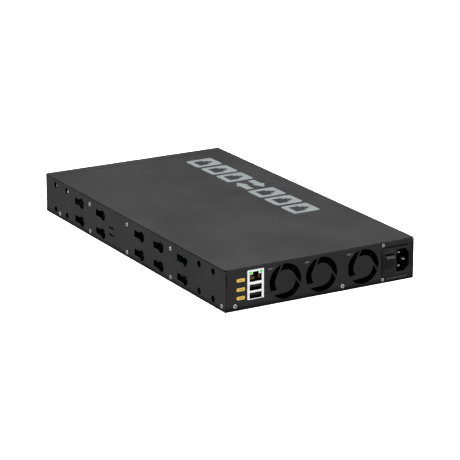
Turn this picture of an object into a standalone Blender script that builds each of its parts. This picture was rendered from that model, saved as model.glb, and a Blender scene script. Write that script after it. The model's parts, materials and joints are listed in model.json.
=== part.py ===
"""A half-width, one-unit rackmount network switch, built as it comes apart on a bench.

Run it with: blender --background --python part.py, or from Blender's text editor.

Metres, +Z up. The origin is the centre of the underside. The front with the network ports faces -Y,
and the rear wall with the fans, the service jacks and the mains inlet faces +Y.
"""

import math

import bmesh
import bpy
from mathutils import Matrix, Vector

MM = 0.001

# ---------------------------------------------------------------- driving dimensions
WIDTH = 220 * MM
DEPTH = 400 * MM
HEIGHT = 43.2 * MM
SHEET = 1.0 * MM  # thickness of every steel sheet
GAP = 0.3 * MM  # clearance between pieces that fit together

# front panel
TOP_RETURN = 12.5 * MM  # how far its top edge folds back
EDGE_RETURN = 5 * MM  # how far its side and bottom edges fold back
LID_SEAM = 1.2 * MM  # open seam between its top edge and the lid
WALL_SEAM = 0.5 * MM  # open seam between the walls and the lid over them

# seams, lips and tabs that join the sheets
LIP = 2.2 * MM
FOLD = 0.15 * MM  # lips and tabs stand this far in from the edge of the sheet that they belong to
TAB_HEIGHT = 8.4 * MM
TAB_HALF_WIDTH = 5 * MM
REAR_TAB_HALF_WIDTH = 3.5 * MM
BEND_R = 1.0 * MM  # outer radius of the bend between the lid and the rear wall
CORNER_RELIEF = 1.3 * MM  # notch at the cover's rear corners
SEAM_NOTCH_DEPTH = 0.6 * MM  # slot in the rear wall's side edges
SEAM_NOTCH_BOTTOM = 26.5 * MM
SEAM_NOTCH_TOP = 38 * MM

# countersunk screws
SCREW_HEAD_R = 2.3 * MM
SCREW_SHANK_R = 1.3 * MM
SMALL_HEAD_R = 1.8 * MM  # the two screws of the power supply
SMALL_SHANK_R = 1.0 * MM
SCREW_RIM = 0.25 * MM  # straight edge of a head
SCREW_HEAD = 1.4 * MM  # height of a head
SCREW_LENGTH = 3.2 * MM
SCREW_LOW_Z = 4.9 * MM
SCREW_TOP_INSET = 8.2 * MM  # from the top of the case to the upper row
SCREW_STATIONS = (-0.23, -0.015, 0.222)  # shares of the depth, both rows
SCREW_FROM_EAR = 10 * MM  # the front lower screw stands this far behind the first ear hole
SCREW_REAR_INSET = 7.2 * MM

# rack-ear holes: a square of four near each end of both sides
EAR_HOLE_R = 3.5 * MM
EAR_PITCH = 28 * MM
EAR_INSET = 24 * MM

# keyholes in the sides, two rows
KEY_ROUND_R = 5.8 * MM
KEY_SLOT_HALF = 3.65 * MM
KEY_LENGTH = 15.8 * MM  # from the round part's centre to the slot's end
KEY_ROW_PITCH = 20.1 * MM
KEY_ROW_DROP = 1.35 * MM  # the two rows lie this far below mid height
KEY_STATIONS = (-0.279, -0.1535, 0.067, 0.172, 0.297)  # shares of the depth

# two short slots in the sides
TIE_SLOT_LENGTH = 10.2 * MM
TIE_SLOT_HEIGHT = 2.1 * MM
TIE_SLOT_PITCH = 8 * MM
TIE_SLOT_STATION = -0.103  # share of the depth
TIE_SLOT_DROP = 3.7 * MM  # below mid height

# fans
FAN_SIZE = 40 * MM
FAN_DEPTH = 20 * MM
FAN_CENTRES_X = (42 * MM, 0.0, -49.2 * MM)
FAN_WALL = 1.3 * MM  # thinnest wall of the frame
FAN_HUB_R = 11.4 * MM
FAN_STRUT = 2.4 * MM
FAN_BASE = 2 * MM
FAN_BLADES = 7
FAN_BLADE_GAP = 0.7 * MM
FAN_BLADE = 1.1 * MM  # blade thickness
FAN_BLADE_TWIST = 0.085  # turns from a blade's front edge to its rear edge
FAN_SHAFT_R = 1.2 * MM
FAN_MOUNT_PITCH = 32 * MM
FAN_MOUNT_R = 1.8 * MM

# the swirl grille punched in front of each fan
GRILLE_R = 18.2 * MM
GRILLE_DISC_R = 11.8 * MM
GRILLE_FIRST_TANGENT = 34  # degrees, seen from behind
SPOKE = 1.8 * MM
WIDE_SPOKE = 4.8 * MM  # the lower left spoke covers the fan's lead

# boards
BOARD = 1.6 * MM
BOARD_HEIGHT = 6.3 * MM  # underside of the main board above the floor
BOARD_MARGIN = 5 * MM
BOSS_R = 3 * MM
FIN_SHARE = 0.35  # a heat sink fin's thickness as a share of the fins' pitch
REAR_BAY = 26 * MM  # room behind the main board for the fans

# service jack: one network socket over two serial sockets
SERVICE_FROM_SIDE = 34 * MM  # its centre, from the +X side
SERVICE_WIDTH = 18.6 * MM
SERVICE_HEIGHT = 30 * MM
SERVICE_DEPTH = 30 * MM
SERVICE_PROUD = 0.5 * MM
SERVICE_OPENING = 13.8 * MM  # width of all three openings
SERIAL_HEIGHT = 6.3 * MM
SERIAL_LOWS = (0.65 * MM, 8.9 * MM)  # bottoms of the serial sockets above the shell's
SERVICE_NET_LOW = 17.9 * MM  # bottom of the network socket above the shell's
SERVICE_NET_BODY = 7.7 * MM  # its height below the notch for the latch
TONGUE = 1.8 * MM

# a network port's opening
JACK_WIDTH = 12.4 * MM
JACK_BODY = 6.8 * MM
JACK_LATCH_WIDTH = 6.5 * MM
JACK_LATCH_HEIGHT = 2.6 * MM
JACK_DEPTH = 14 * MM

# front ports
COPPER_CENTRE_X = -22 * MM
COPPER_COLUMNS = 4
COPPER_PITCH = 14 * MM
COPPER_WALL = 1.2 * MM
COPPER_BETWEEN = 5 * MM  # between the two rows of openings
COPPER_DEPTH = 25 * MM
FIBRE_CENTRE_X = 47 * MM
FIBRE_COLUMNS = 4
FIBRE_WIDTH = 13.65 * MM
FIBRE_HEIGHT = 9 * MM
FIBRE_WALL = 0.6 * MM
FIBRE_BETWEEN = 4 * MM
FIBRE_DEPTH = 48 * MM
FIBRE_CAVITY = 45 * MM
PORT_PROUD = 0.6 * MM

# status window and buttons at the front
WINDOW_FROM_SIDE = 6 * MM
WINDOW_WIDTH = 34 * MM
WINDOW_HEIGHT = 7 * MM
WINDOW_Z = 30 * MM
BUTTON_BOARD_Y = 9 * MM  # its front face behind the front face of the case
BUTTON_TRAVEL = 0.5 * MM
MODE_BUTTON_R = 2.5 * MM
MODE_FROM_SIDE = 14 * MM
RESET_HOLE_R = 0.9 * MM
RESET_FROM_SIDE = 26 * MM
BUTTON_Z = 17 * MM
BUTTON_CLEAR = 0.3 * MM
VENT_WIDTH = 2 * MM
VENT_HEIGHT = 24 * MM
VENT_PITCH = 4.5 * MM
VENT_COUNT = 5
VENT_FROM_SIDE = 9 * MM

# power supply behind the rear wall, on the -X side
SUPPLY_FROM_SIDE = 3.4 * MM  # from the side to the opening in the rear wall
SUPPLY_WIDTH = 36 * MM
SUPPLY_BOTTOM = 5.6 * MM
SUPPLY_TOP = 37.6 * MM
SUPPLY_SHADOW_GAP = 1.5 * MM  # open gap along the plate's inner and top edges
SUPPLY_STEP = 3 * MM  # the top gap closes this far before the plate's end
SUPPLY_CORNER_R = 3 * MM
SUPPLY_INSET = 0.4 * MM  # plate behind the rear wall's face
SUPPLY_LENGTH = 175 * MM
SUPPLY_EAR = 8 * MM  # the screw ears reach to this far above and below mid height
SUPPLY_SCREW_LOW_Z = 3.5 * MM
SUPPLY_SCREW_HIGH_INSET = 3.5 * MM
SUPPLY_SCREW_FROM_OPENING = 2.3 * MM

# mains inlet, lying on its side
INLET_FROM_SIDE = 12.9 * MM  # its centre, from the -X side
INLET_Z = 20.9 * MM
INLET_WIDTH = 15.8 * MM
INLET_HEIGHT = 24.4 * MM
INLET_CHAMFER = 5 * MM
INLET_RECESS = 13 * MM
INLET_WALL = 1.2 * MM
INLET_DEPTH = 17 * MM
PIN_WIDTH = 4 * MM
PIN_THICK = 2 * MM
PIN_SPACING = 14 * MM
PIN_OFFSET = 2 * MM  # line and neutral one way from the centre, earth the other
PIN_RECESS = 4.4 * MM
EARTH_RECESS = 2 * MM
PIN_TAIL = 5 * MM

# rocker switch
SWITCH_FROM_SIDE = 29.8 * MM
SWITCH_Z = 21.3 * MM
SWITCH_FLANGE_WIDTH = 12.8 * MM
SWITCH_FLANGE_HEIGHT = 21.8 * MM
SWITCH_FLANGE = 1 * MM
SWITCH_MOUTH_WIDTH = 10.4 * MM
SWITCH_MOUTH_HEIGHT = 17 * MM
SWITCH_WALL = 0.6 * MM
SWITCH_DEPTH = 17 * MM
ROCKER_WIDTH = 9.8 * MM
ROCKER_END_R = 9.0 * MM
ROCKER_FACE = 6.0 * MM  # from the pivot to the ends of the face
ROCKER_HOLLOW = 0.6 * MM  # how far the face dips in the middle
ROCKER_SHOULDER = 7.6 * MM  # half its height behind the face
ROCKER_KEEL = 3.6 * MM  # how far it reaches behind the pivot
ROCKER_TILT = 16  # degrees each way
ROCKER_PIVOT_DEPTH = 4 * MM  # behind the flange's face
PIVOT_R = 1 * MM

# inside the power supply
TRANSFORMER_FROM_REAR = 108.5 * MM
CORE_SIZE = (24 * MM, 28 * MM, 20 * MM)
COIL_R = 13 * MM
COIL_HEIGHT = 13 * MM
CAPACITOR_FROM_REAR = 66.5 * MM
CAPACITOR_R = 9 * MM
CAPACITOR_HEIGHT = 22 * MM
POWER_SINK_INSET = 8 * MM  # its centre, from the opening's outer edge
POWER_SINK_FROM_REAR = 148.7 * MM
POWER_SINK_SIZE = (10 * MM, 34 * MM)
POWER_SINK_HEIGHT = 20 * MM
LEAD_INSET = 20 * MM
LEAD_FROM_END = 8 * MM
LEAD_R = 1.8 * MM

# chips and heat sinks on the main board
SWITCH_CHIP_AT = (8 * MM, -50 * MM)
SWITCH_CHIP = 36 * MM
SWITCH_SINK = (64 * MM, 64 * MM)
SWITCH_SINK_TOP = 34 * MM
PROCESSOR_AT = (58 * MM, 60 * MM)
PROCESSOR_CHIP = 24 * MM
PROCESSOR_SINK = (40 * MM, 40 * MM)
PROCESSOR_SINK_TOP = 26 * MM
PHY_SINK_BEHIND = 14 * MM  # its centre, behind the copper ports
PHY_SINK = (56 * MM, 18 * MM)
PHY_SINK_TOP = 20 * MM
CHIP_HEIGHT = 3 * MM
SINK_BASE = 2.5 * MM

# ---------------------------------------------------------------- derived places
SIDE = WIDTH / 2
REAR = DEPTH / 2
FRONT = -DEPTH / 2
INSIDE_X = SIDE - SHEET
INSIDE_REAR = REAR - SHEET
WALL_TOP = HEIGHT - SHEET - WALL_SEAM  # top edge of the walls that the cover rests over
COVER_FRONT = FRONT + TOP_RETURN + LID_SEAM
FLOOR_X = INSIDE_X - GAP  # edge of the floor, inside the side panels
LIP_X = FLOOR_X - FOLD  # outer face of the lips and tabs
MID_Z = HEIGHT / 2
SCREW_HIGH_Z = HEIGHT - SCREW_TOP_INSET
STATIONS_BOTH = [share * DEPTH for share in SCREW_STATIONS]
STATIONS_LOW = [FRONT + EAR_INSET + SCREW_FROM_EAR, REAR - SCREW_REAR_INSET]
BOARD_BOTTOM = SHEET + BOARD_HEIGHT
BOARD_TOP = BOARD_BOTTOM + BOARD
SERVICE_X = SIDE - SERVICE_FROM_SIDE
SERVICE_Z = BOARD_TOP + GAP
SUPPLY_OUTER_X = -(SIDE - SUPPLY_FROM_SIDE)
SUPPLY_INNER_X = SUPPLY_OUTER_X + SUPPLY_WIDTH
SUPPLY_FACE_Y = REAR - SUPPLY_INSET
SUPPLY_BACK_Y = INSIDE_REAR - GAP - SHEET
SUPPLY_SCREW_X = SUPPLY_INNER_X - SUPPLY_SCREW_FROM_OPENING
INLET_X = -(SIDE - INLET_FROM_SIDE)
SWITCH_X = -(SIDE - SWITCH_FROM_SIDE)
SWITCH_FACE_Y = SUPPLY_FACE_Y + GAP + SWITCH_FLANGE
PIVOT_Y = SWITCH_FACE_Y - ROCKER_PIVOT_DEPTH
FAN_REAR_Y = INSIDE_REAR - GAP
FAN_FRONT_Y = FAN_REAR_Y - FAN_DEPTH
DUCT_R = FAN_SIZE / 2 - FAN_WALL
PORT_FACE_Y = FRONT - PORT_PROUD
COPPER_WIDTH = COPPER_COLUMNS * COPPER_PITCH + 2 * COPPER_WALL
JACK_HEIGHT = JACK_BODY + JACK_LATCH_HEIGHT
COPPER_HEIGHT = 2 * JACK_HEIGHT + COPPER_BETWEEN + 2 * COPPER_WALL
FIBRE_PITCH = FIBRE_WIDTH + FIBRE_WALL
FIBRE_BLOCK_WIDTH = FIBRE_COLUMNS * FIBRE_PITCH + FIBRE_WALL
FIBRE_BLOCK_HEIGHT = 2 * FIBRE_HEIGHT + FIBRE_BETWEEN + 2 * FIBRE_WALL
PORT_LOW_Z = BOARD_TOP + GAP
REAR_SCREWS = [
    (SIDE - 11.1 * MM, SCREW_LOW_Z),
    (-25 * MM, SCREW_LOW_Z),
]
SUPPLY_SCREWS = [
    (SUPPLY_SCREW_X, HEIGHT - SUPPLY_SCREW_HIGH_INSET),
    (SUPPLY_SCREW_X, SUPPLY_SCREW_LOW_Z),
]

# Local axes of a flat outline: its first axis, its second, and the way it is extruded.
LYING = Matrix.Identity(4)
FACING_Y = Matrix(((1, 0, 0, 0), (0, 0, -1, 0), (0, 1, 0, 0), (0, 0, 0, 1)))
FACING_X = Matrix(((0, 0, 1, 0), (1, 0, 0, 0), (0, 1, 0, 0), (0, 0, 0, 1)))
TURNS = {"X": (0, math.pi / 2, 0), "Y": (math.pi / 2, 0, 0), "Z": (0, 0, 0)}


# ---------------------------------------------------------------- materials
def finish(name, colour, roughness, metallic=0.0):
    """A Principled BSDF of one colour."""
    material = bpy.data.materials.new(name)
    material.use_nodes = True
    shader = material.node_tree.nodes["Principled BSDF"]
    shader.inputs["Base Color"].default_value = (*colour, 1)
    shader.inputs["Roughness"].default_value = roughness
    shader.inputs["Metallic"].default_value = metallic
    return material


def make_finishes():
    return {
        "black_paint": finish("black_paint", (0.035, 0.035, 0.036), 0.5),
        "zinc_steel": finish("zinc_steel", (0.62, 0.63, 0.65), 0.35, 1.0),
        "screw_steel": finish("screw_steel", (0.66, 0.66, 0.67), 0.3, 1.0),
        "shield": finish("shield", (0.86, 0.88, 0.9), 0.22, 1.0),
        "black_plastic": finish("black_plastic", (0.012, 0.012, 0.013), 0.4),
        "switch_plastic": finish("switch_plastic", (0.03, 0.03, 0.032), 0.45),
        "circuit_board": finish("circuit_board", (0.02, 0.11, 0.05), 0.45),
        "chip": finish("chip", (0.02, 0.02, 0.022), 0.5),
        "aluminium": finish("aluminium", (0.72, 0.73, 0.75), 0.35, 1.0),
        "brass": finish("brass", (0.75, 0.7, 0.55), 0.25, 1.0),
        "smoked_lens": finish("smoked_lens", (0.02, 0.02, 0.025), 0.12),
        "clear_lens": finish("clear_lens", (0.8, 0.82, 0.8), 0.15),
        "winding": finish("winding", (0.72, 0.55, 0.12), 0.5),
        "capacitor_sleeve": finish("capacitor_sleeve", (0.02, 0.03, 0.07), 0.35),
        "cable": finish("cable", (0.06, 0.06, 0.065), 0.5),
    }


# ---------------------------------------------------------------- modelling helpers
def named(obj, name):
    obj.name = name
    obj.data.name = name
    return obj


def block(low, high, name="block"):
    """A cuboid from its lowest to its highest corner."""
    low, high = Vector(low), Vector(high)
    bpy.ops.mesh.primitive_cube_add(size=1, location=(low + high) / 2)
    obj = bpy.context.object
    obj.data.transform(Matrix.Diagonal((*(high - low), 1)))
    return named(obj, name)


def rod(centre, radius, length, axis, name="rod", far_radius=None, segments=24):
    """A cylinder round centre along X, Y or Z, or a cone that ends in far_radius at its upper end."""
    bpy.ops.mesh.primitive_cone_add(
        vertices=segments,
        radius1=radius,
        radius2=radius if far_radius is None else far_radius,
        depth=length,
        location=centre,
        rotation=TURNS[axis],
    )
    return named(bpy.context.object, name)


def solid_mesh(source):
    """The evaluated mesh of an object, welded, with its faces pointing out."""
    graph = bpy.context.evaluated_depsgraph_get()
    mesh = bpy.data.meshes.new_from_object(source.evaluated_get(graph))
    work = bmesh.new()
    work.from_mesh(mesh)
    bmesh.ops.remove_doubles(work, verts=work.verts, dist=1e-6)
    bmesh.ops.recalc_face_normals(work, faces=work.faces)
    work.to_mesh(mesh)
    work.free()
    return mesh


def plate(outline, thickness, plane, centre, name="plate"):
    """A flat outline in its own plane, extruded to thickness about centre."""
    curve = bpy.data.curves.new(name, "CURVE")
    curve.dimensions = "2D"
    curve.fill_mode = "BOTH"
    curve.extrude = thickness / 2
    spline = curve.splines.new("POLY")
    spline.points.add(len(outline) - 1)
    for point, (u, v) in zip(spline.points, outline):
        point.co = (u, v, 0, 1)
    spline.use_cyclic_u = True
    source = bpy.data.objects.new(name, curve)
    bpy.context.scene.collection.objects.link(source)
    source.matrix_world = Matrix.Translation(centre) @ plane
    bpy.context.view_layer.update()
    obj = bpy.data.objects.new(name, solid_mesh(source))
    bpy.context.scene.collection.objects.link(obj)
    obj.matrix_world = source.matrix_world.copy()
    bpy.data.objects.remove(source)
    return named(obj, name)


def prism(outline, low_y, high_y, name="prism"):
    """An outline in (x, z) extruded from low_y to high_y."""
    return plate(outline, high_y - low_y, FACING_Y, (0, (low_y + high_y) / 2, 0), name)


def combine(target, others, operation):
    """Cuts the others from target, or joins them to it, and removes them."""
    for other in others:
        modifier = target.modifiers.new(other.name, "BOOLEAN")
        modifier.operation = operation
        modifier.object = other
    bpy.context.view_layer.update()
    mesh = solid_mesh(target)
    target.modifiers.clear()
    target.data = mesh
    mesh.name = target.name
    for other in others:
        bpy.data.objects.remove(other)
    return target


def cut(target, cutters):
    return combine(target, cutters, "DIFFERENCE")


def join(target, pieces):
    return combine(target, pieces, "UNION")


def arc(centre, radius, start, end, steps):
    """Points along an arc from start to end, in degrees."""
    angles = [math.radians(start + (end - start) * k / steps) for k in range(steps + 1)]
    return [(centre[0] + radius * math.cos(a), centre[1] + radius * math.sin(a)) for a in angles]


def copy_of(source, name, offset):
    """Another object with the same mesh, moved by offset."""
    obj = bpy.data.objects.new(name, source.data)
    bpy.context.scene.collection.objects.link(obj)
    obj.matrix_world = Matrix.Translation(offset) @ source.matrix_world
    return obj


# ---------------------------------------------------------------- screws
def screw(name, seat, direction, head_r=SCREW_HEAD_R, shank_r=SCREW_SHANK_R):
    """A countersunk screw turned about its own axis; its head is flush with seat and faces direction."""
    profile = [(head_r, 0), (head_r, -SCREW_RIM), (shank_r, -SCREW_HEAD), (shank_r, -SCREW_LENGTH)]
    mesh = bpy.data.meshes.new(name)
    points = [(0, 0, 0), *((r, 0, z) for r, z in profile), (0, 0, -SCREW_LENGTH)]
    mesh.from_pydata(points, [(k, k + 1) for k in range(len(points) - 1)], [])
    obj = bpy.data.objects.new(name, mesh)
    bpy.context.scene.collection.objects.link(obj)
    turn = obj.modifiers.new("turn", "SCREW")
    turn.steps = turn.render_steps = 10
    turn.use_merge_vertices = True
    turn.merge_threshold = 1e-6
    bpy.context.view_layer.update()
    obj.data = solid_mesh(obj)
    obj.modifiers.clear()
    obj.rotation_euler = Vector(direction).to_track_quat("Z", "Y").to_euler()
    obj.location = seat
    return named(obj, name)


def countersink(seat, direction, head_r=SCREW_HEAD_R, shank_r=SCREW_SHANK_R):
    """The cutter for a screw: a cone through the sheet, a little wider than the head."""
    direction = Vector(direction)
    bpy.ops.mesh.primitive_cone_add(
        vertices=12,
        radius1=shank_r + 2 * GAP,
        radius2=head_r + 2 * GAP,
        depth=2 * SHEET,
        location=Vector(seat) - direction * (SHEET - GAP),
        rotation=direction.to_track_quat("Z", "Y").to_euler(),
    )
    return named(bpy.context.object, "countersink")


def shank_hole(seat, axis, shank_r=SCREW_SHANK_R):
    """The cutter for a screw's thread in the tab behind the sheet."""
    return rod(seat, shank_r + GAP, 2 * SCREW_LENGTH, axis, "shank_hole", segments=8)


def side_screw_places():
    """(y, z) of the screws in each side panel."""
    low = [(y, SCREW_LOW_Z) for y in sorted([*STATIONS_BOTH, *STATIONS_LOW])]
    return low + [(y, SCREW_HIGH_Z) for y in STATIONS_BOTH]


# ---------------------------------------------------------------- enclosure
def keyhole(x, y, z):
    """The cutters for a round hole with a square-ended slot towards the front."""
    through = 2 * SHEET
    return [
        rod((x, y, z), KEY_ROUND_R, 2 * through, "X", segments=16),
        block((x - through, y - KEY_LENGTH, z - KEY_SLOT_HALF),
              (x + through, y, z + KEY_SLOT_HALF)),
    ]


def side_holes(x):
    """The cutters for the keyholes, ear holes and tie slots of the panel at x."""
    rows = [MID_Z - KEY_ROW_DROP + sign * KEY_ROW_PITCH / 2 for sign in (-1, 1)]
    cutters = []
    for share in KEY_STATIONS:
        for z in rows:
            cutters += keyhole(x, share * DEPTH, z)
    for end in (-1, 1):
        for y in (REAR - EAR_INSET, REAR - EAR_INSET - EAR_PITCH):
            for z in (MID_Z - EAR_PITCH / 2, MID_Z + EAR_PITCH / 2):
                cutters.append(rod((x, end * y, z), EAR_HOLE_R, 4 * SHEET, "X", segments=16))
    y = TIE_SLOT_STATION * DEPTH
    for sign in (-1, 1):
        z = MID_Z - TIE_SLOT_DROP + sign * TIE_SLOT_PITCH / 2
        cutters.append(block((x - 2 * SHEET, y - TIE_SLOT_LENGTH / 2, z - TIE_SLOT_HEIGHT / 2),
                             (x + 2 * SHEET, y + TIE_SLOT_LENGTH / 2, z + TIE_SLOT_HEIGHT / 2)))
    return cutters


def side_panel(name, sign):
    inner, outer = sorted((sign * INSIDE_X, sign * SIDE))
    panel = block((inner, FRONT + EDGE_RETURN + GAP, 0), (outer, REAR, WALL_TOP), name)
    seats = [(sign * SIDE, y, z) for y, z in side_screw_places()]
    cutters = side_holes(sign * (SIDE - SHEET / 2))
    return cut(panel, cutters + [countersink(seat, (sign, 0, 0)) for seat in seats])


def tabbed_lip(sign, front, rear, foot, lip_end, tabs, tab_end):
    """A strip along a side with a tab at each of the given places, in the plane of the side panel.

    foot is the height where the strip meets the floor or the lid; the tabs reach on to tab_end.
    """
    inner, outer = sorted((sign * (LIP_X - SHEET), sign * LIP_X))
    strip = block((inner, front, min(foot, tab_end)), (outer, rear, max(foot, tab_end)), "lip")
    beyond = tab_end + (tab_end - lip_end)
    bays = [front - SHEET, *(y + side * TAB_HALF_WIDTH for y in sorted(tabs) for side in (-1, 1)),
            rear + SHEET]
    bites = [block((inner - SHEET, start, min(lip_end, beyond)),
                   (outer + SHEET, end, max(lip_end, beyond)))
             for start, end in zip(bays[::2], bays[1::2])]
    return cut(strip, bites)


def bottom_pan():
    """The floor with low side lips, a tab behind every lower screw, and bosses under the main board."""
    front, rear = FRONT + EDGE_RETURN + GAP, INSIDE_REAR - GAP
    pan = block((-FLOOR_X, front, 0), (FLOOR_X, rear, SHEET), "bottom_pan")
    places = [*STATIONS_BOTH, *STATIONS_LOW]
    pieces = [tabbed_lip(sign, front + FOLD, rear - 2 * SHEET, SHEET / 2, SHEET + LIP, places,
                         SHEET + TAB_HEIGHT) for sign in (-1, 1)]
    for x, _ in REAR_SCREWS:
        low = (x - REAR_TAB_HALF_WIDTH, rear - FOLD - SHEET, SHEET / 2)
        high = (x + REAR_TAB_HALF_WIDTH, rear - FOLD, SHEET + TAB_HEIGHT)
        pieces.append(block(low, high, "rear_tab"))
    low, high = SHEET / 2, BOARD_BOTTOM - GAP
    for x, y in boss_places():
        pieces.append(rod((x, y, (low + high) / 2), BOSS_R, high - low, "Z", "boss", segments=12))
    join(pan, pieces)
    holes = [shank_hole((sign * LIP_X, y, SCREW_LOW_Z), "X") for sign in (-1, 1) for y in places]
    holes += [shank_hole((x, INSIDE_REAR, z), "Y") for x, z in REAR_SCREWS]
    return cut(pan, holes)


def boss_places():
    """(x, y) of the bosses that carry the main board."""
    edge = SIDE - BOARD_MARGIN - 2 * BOSS_R
    rear = REAR - REAR_BAY - 2 * BOSS_R
    return [(edge, FRONT / 2), (-edge, FRONT / 2), (edge, 0), (edge, rear), (0, 0), (0, rear)]


def grille_segment(centre, tangent, spoke):
    """One curved slot of the swirl grille, in (x, z) seen from behind with +X to the left.

    Its inner edge follows the disc and then leaves it along a tangent, out to a point on the rim.
    Its other end is cut off parallel to the tangent of the segment before it.
    """
    lean = math.degrees(math.acos(GRILLE_DISC_R / GRILLE_R))
    tip = tangent - lean
    before = tangent + 120  # the direction that the neighbour's tangent line faces
    reach = GRILLE_DISC_R - spoke
    outer_end = before - math.degrees(math.acos(reach / GRILLE_R))
    inner_end = before - math.degrees(math.acos(reach / GRILLE_DISC_R))
    rim = arc((0, 0), GRILLE_R, tip, outer_end, 12)
    disc = arc((0, 0), GRILLE_DISC_R, inner_end, tangent, 8)
    return [(centre[0] - u, centre[1] + v) for u, v in [*rim, *disc]]


def cover_sheet():
    """The lid and the rear wall, bent from one sheet, with the wall narrower than the lid."""
    bend = arc((REAR - BEND_R, HEIGHT - BEND_R), BEND_R, 90, 0, 4)
    outline = [(COVER_FRONT, HEIGHT - SHEET), (COVER_FRONT, HEIGHT), *bend,
               (REAR, 0), (INSIDE_REAR, 0), (INSIDE_REAR, HEIGHT - SHEET)]
    cover = plate(outline, WIDTH, FACING_X, (0, 0, 0), "top_cover")
    cutters = []
    for sign in (-1, 1):
        inner, outer = sorted((sign * FLOOR_X, sign * (SIDE + SHEET)))
        cutters.append(block((inner, INSIDE_REAR - SHEET, -SHEET), (outer, REAR + SHEET, WALL_TOP)))
        cutters.append(block((sign * SIDE - CORNER_RELIEF, REAR - CORNER_RELIEF, HEIGHT / 2),
                             (sign * SIDE + CORNER_RELIEF, REAR + SHEET, HEIGHT + SHEET)))
    return cut(cover, cutters)


def top_cover():
    """The cover with its inner lips, the swirl grilles, and the service and supply openings."""
    cover = join(cover_sheet(), [
        tabbed_lip(sign, COVER_FRONT + SHEET, INSIDE_REAR - 2 * SHEET, HEIGHT - SHEET / 2,
                   HEIGHT - SHEET - LIP, STATIONS_BOTH, SCREW_HIGH_Z - TAB_HEIGHT / 2)
        for sign in (-1, 1)])
    before, behind = INSIDE_REAR - SHEET, REAR + SHEET
    cutters = [shank_hole((sign * LIP_X, y, SCREW_HIGH_Z), "X") for sign in (-1, 1)
               for y in STATIONS_BOTH]
    for fan_x in FAN_CENTRES_X:
        for k, spoke in enumerate((SPOKE, SPOKE, WIDE_SPOKE)):
            tangent = GRILLE_FIRST_TANGENT - 120 * k
            cutters.append(prism(grille_segment((fan_x, MID_Z), tangent, spoke), before, behind))
    for sign in (-1, 1):
        cutters.append(block((sign * FLOOR_X - SEAM_NOTCH_DEPTH, before, SEAM_NOTCH_BOTTOM),
                             (sign * FLOOR_X + SEAM_NOTCH_DEPTH, behind, SEAM_NOTCH_TOP)))
    half = SERVICE_WIDTH / 2 + GAP
    cutters.append(block((SERVICE_X - half, before, SERVICE_Z - GAP),
                         (SERVICE_X + half, behind, SERVICE_Z + SERVICE_HEIGHT + GAP)))
    opening = rounded_corners(SUPPLY_OUTER_X, SUPPLY_BOTTOM, SUPPLY_INNER_X, SUPPLY_TOP)
    cutters.append(prism(opening, before, behind))
    cutters += [countersink((x, REAR, z), (0, 1, 0)) for x, z in REAR_SCREWS]
    cutters += [countersink((x, REAR, z), (0, 1, 0), SMALL_HEAD_R, SMALL_SHANK_R)
                for x, z in SUPPLY_SCREWS]
    return cut(cover, cutters)


def rounded_corners(outer_x, low, inner_x, high):
    """The supply's outline in (x, z), its two inner corners rounded."""
    x, r = inner_x - SUPPLY_CORNER_R, SUPPLY_CORNER_R
    return [(outer_x, low), *arc((x, low + r), r, -90, 0, 4), *arc((x, high - r), r, 0, 90, 4),
            (outer_x, high)]


def front_panel():
    """The front wall, folded back along the top, the sides and the bottom, with the port openings."""
    panel = block((-SIDE, FRONT, 0), (SIDE, FRONT + TOP_RETURN, HEIGHT), "front_panel")
    beyond = FRONT + 2 * TOP_RETURN
    inner = block((-INSIDE_X, FRONT + SHEET, SHEET), (INSIDE_X, beyond, HEIGHT - SHEET))
    below = block((-WIDTH, FRONT + EDGE_RETURN, -SHEET), (WIDTH, beyond, HEIGHT - SHEET))
    cut(panel, [inner, below])
    ahead, behind = FRONT - SHEET, FRONT + 2 * SHEET
    cutters = []
    for centre, width, height in (
        (COPPER_CENTRE_X, COPPER_WIDTH, COPPER_HEIGHT),
        (FIBRE_CENTRE_X, FIBRE_BLOCK_WIDTH, FIBRE_BLOCK_HEIGHT),
    ):
        half = width / 2 + GAP
        cutters.append(block((centre - half, ahead, PORT_LOW_Z - GAP),
                             (centre + half, behind, PORT_LOW_Z + height + GAP)))
    left = -SIDE + WINDOW_FROM_SIDE
    cutters.append(block((left, ahead, WINDOW_Z),
                         (left + WINDOW_WIDTH, behind, WINDOW_Z + WINDOW_HEIGHT)))
    cutters.append(rod((-SIDE + MODE_FROM_SIDE, FRONT, BUTTON_Z),
                       MODE_BUTTON_R + BUTTON_CLEAR, 4 * SHEET, "Y", segments=20))
    cutters.append(rod((-SIDE + RESET_FROM_SIDE, FRONT, BUTTON_Z),
                       RESET_HOLE_R, 4 * SHEET, "Y", segments=12))
    for k in range(VENT_COUNT):
        x = SIDE - VENT_FROM_SIDE - k * VENT_PITCH
        cutters.append(block((x - VENT_WIDTH / 2, ahead, MID_Z - VENT_HEIGHT / 2),
                             (x + VENT_WIDTH / 2, behind, MID_Z + VENT_HEIGHT / 2)))
    return cut(panel, cutters)


# ---------------------------------------------------------------- front window and buttons
def status_window():
    left, high = -SIDE + WINDOW_FROM_SIDE + GAP, WINDOW_Z + WINDOW_HEIGHT - GAP
    lens = block((left, FRONT, WINDOW_Z + GAP),
                 (left + WINDOW_WIDTH - 2 * GAP, FRONT + 2 * SHEET, high), "status_window")
    ledge = block((left - 2 * GAP, FRONT + SHEET + GAP, WINDOW_Z - GAP),
                  (left + WINDOW_WIDTH, FRONT + 2 * SHEET, high + 2 * GAP))
    return join(lens, [ledge])


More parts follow.
